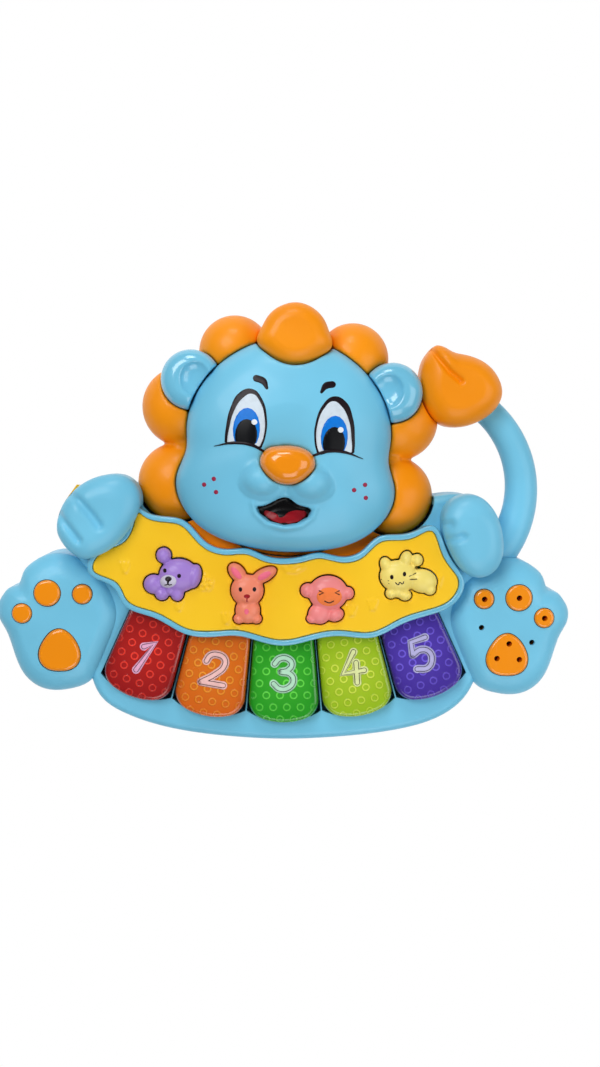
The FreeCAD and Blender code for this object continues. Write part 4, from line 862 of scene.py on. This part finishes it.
def build_floor(scene):
    floor = bmesh.new()
    bmesh.ops.create_grid(floor, x_segments=1, y_segments=1, size=3)
    bmesh.ops.translate(floor, verts=floor.verts, vec=(0, 0, -FLOOR_DROP * MM))
    mesh = bpy.data.meshes.new("floor")
    floor.to_mesh(mesh)
    floor.free()
    mesh.materials.append(floor_finish())
    thing = bpy.data.objects.new("floor", mesh)
    scene.collection.objects.link(thing)


def build_sky(scene, dim):
    """Surroundings that are white to the camera and give a dim light."""
    world = bpy.data.worlds.new("studio")
    scene.world = world
    world.use_nodes = True
    sky = world.node_tree
    background = sky.nodes["Background"].inputs
    background["Color"].default_value = (1, 1, 1, 1)
    path = sky.nodes.new("ShaderNodeLightPath")
    strength = sky.nodes.new("ShaderNodeMapRange")
    strength.inputs["To Min"].default_value = dim
    sky.links.new(path.outputs["Is Camera Ray"], strength.inputs["Value"])
    sky.links.new(strength.outputs[0], background["Strength"])


def build_lamps(scene, power):
    for name, place, size, share in (("key_light", (-0.55, 0.65, 1.1), 0.7, 1),
                                     ("fill_light", (0.9, -0.1, 0.9), 0.9, 0.55),
                                     ("front_light", (0.15, -0.9, 0.9), 0.8, 0.5),
                                     ("strip_light", (-0.1, 1.0, 0.55), 0.35, 0.3)):
        data = bpy.data.lights.new(name, "AREA")
        data.size = size
        data.energy = power * share
        lamp = bpy.data.objects.new(name, data)
        lamp.location = place
        lamp.rotation_euler = (-Vector(place)).to_track_quat("-Z", "Y").to_euler()
        scene.collection.objects.link(lamp)


def build_camera(scene):
    """The photograph's viewpoint, with the toy's upward axis upright in the picture."""
    data = bpy.data.cameras.new("camera")
    data.lens = LENS
    data.sensor_width = 36
    data.clip_start = 0.01
    camera = bpy.data.objects.new("camera", data)
    back_axis = (CAMERA_PLACE - CAMERA_AIM).normalized()
    right = Vector((0, 1, 0)).cross(back_axis).normalized()
    up = back_axis.cross(right)
    turn = Matrix((right, up, back_axis)).transposed().to_4x4()
    camera.matrix_world = Matrix.Translation(CAMERA_PLACE) @ turn
    scene.collection.objects.link(camera)
    scene.camera = camera


# ------------------------------------------------------------ the add-on
class LionLook(bpy.types.PropertyGroup):
    skin_voxel: FloatProperty(
        name="Skin voxel", description="Grid of the soft skins, in millimetres",
        default=0.8, min=0.3, max=2)
    skin_passes: IntProperty(
        name="Skin smoothing", description="Smoothing passes of the soft skins",
        default=8, min=0, max=40)
    digit_height: FloatProperty(
        name="Digit height", description="Height of the keys' numbers, in millimetres",
        default=20, min=10, max=26)
    key_power: FloatProperty(
        name="Main light", description="Power of the main lamp", default=9.4, unit="POWER")
    world_strength: FloatProperty(
        name="Sky", description="Strength of the white surroundings", default=0.12)


class LionColours(bpy.types.PropertyGroup):
    shell_blue: FloatVectorProperty(
        name="Shell", description="Light-blue mouldings", subtype="COLOR",
        default=colour(118, 200, 232))
    mane_orange: FloatVectorProperty(
        name="Mane", description="Mane, nose and paw pads", subtype="COLOR",
        default=colour(255, 150, 0))
    panel_yellow: FloatVectorProperty(
        name="Song sheet", description="Panel behind the animals", subtype="COLOR",
        default=colour(255, 200, 30))


def piece_operator(label, title, words, make):
    """An operator class that makes one group of pieces."""
    def execute(self, context):
        make(context.scene.lion_look)
        return {"FINISHED"}
    return type("LION_OT_" + label, (bpy.types.Operator,), {
        "bl_idname": "lion." + label, "bl_label": title, "__doc__": words, "execute": execute})


class LION_OT_finishes(bpy.types.Operator):
    """Make every material of the toy"""
    bl_idname = "lion.finishes"
    bl_label = "Make the finishes"

    def execute(self, context):
        make_finishes(context.scene.lion_colours)
        return {"FINISHED"}


STEPS = (
    ("shells", "Shells", "Dress the hard mouldings and hidden parts", build_shells),
    ("mane", "Mane", "Build the mane and the forelock", build_mane),
    ("ears", "Ears", "Build both glossy ears", build_ears),
    ("face", "Face", "Build the face, its printed eyes and the nose", build_face),
    ("mouth", "Mouth", "Line the mouth and lay in the tongue", build_mouth),
    ("hands", "Hands", "Build the hands that hold the song sheet", build_hands),
    ("tuft", "Tail tuft", "Build the tuft at the tail's end", build_tuft),
    ("panel", "Song sheet", "Build the song sheet and its rim", build_panel),
    ("keys", "Keys", "Build the five clear keys and their numbers", build_keys),
    ("animals", "Animals", "Build the four animal buttons and their faces", build_animals),
    ("stage", "Stage", "Add the floor, the light and the camera", build_stage),
)
OPERATORS = [LION_OT_finishes] + [piece_operator(*step) for step in STEPS]


class LION_PT_panel(bpy.types.Panel):
    bl_idname = "LION_PT_panel"
    bl_label = "Lion keyboard"
    bl_space_type = "VIEW_3D"
    bl_region_type = "UI"
    bl_category = "Lion"

    def draw(self, context):
        for group in (context.scene.lion_look, context.scene.lion_colours):
            for label in type(group).__annotations__:
                self.layout.prop(group, label)
        for operator in OPERATORS:
            self.layout.operator(operator.bl_idname)


CLASSES = [LionLook, LionColours] + OPERATORS + [LION_PT_panel]


def register():
    for item in CLASSES:
        bpy.utils.register_class(item)
    bpy.types.Scene.lion_look = PointerProperty(type=LionLook)
    bpy.types.Scene.lion_colours = PointerProperty(type=LionColours)


def unregister():
    del bpy.types.Scene.lion_colours
    del bpy.types.Scene.lion_look
    for item in reversed(CLASSES):
        bpy.utils.unregister_class(item)


def main():
    register()
    bpy.ops.lion.finishes()
    for label, _title, _words, _make in STEPS:
        getattr(bpy.ops.lion, label)()


if __name__ == "__main__":
    main()
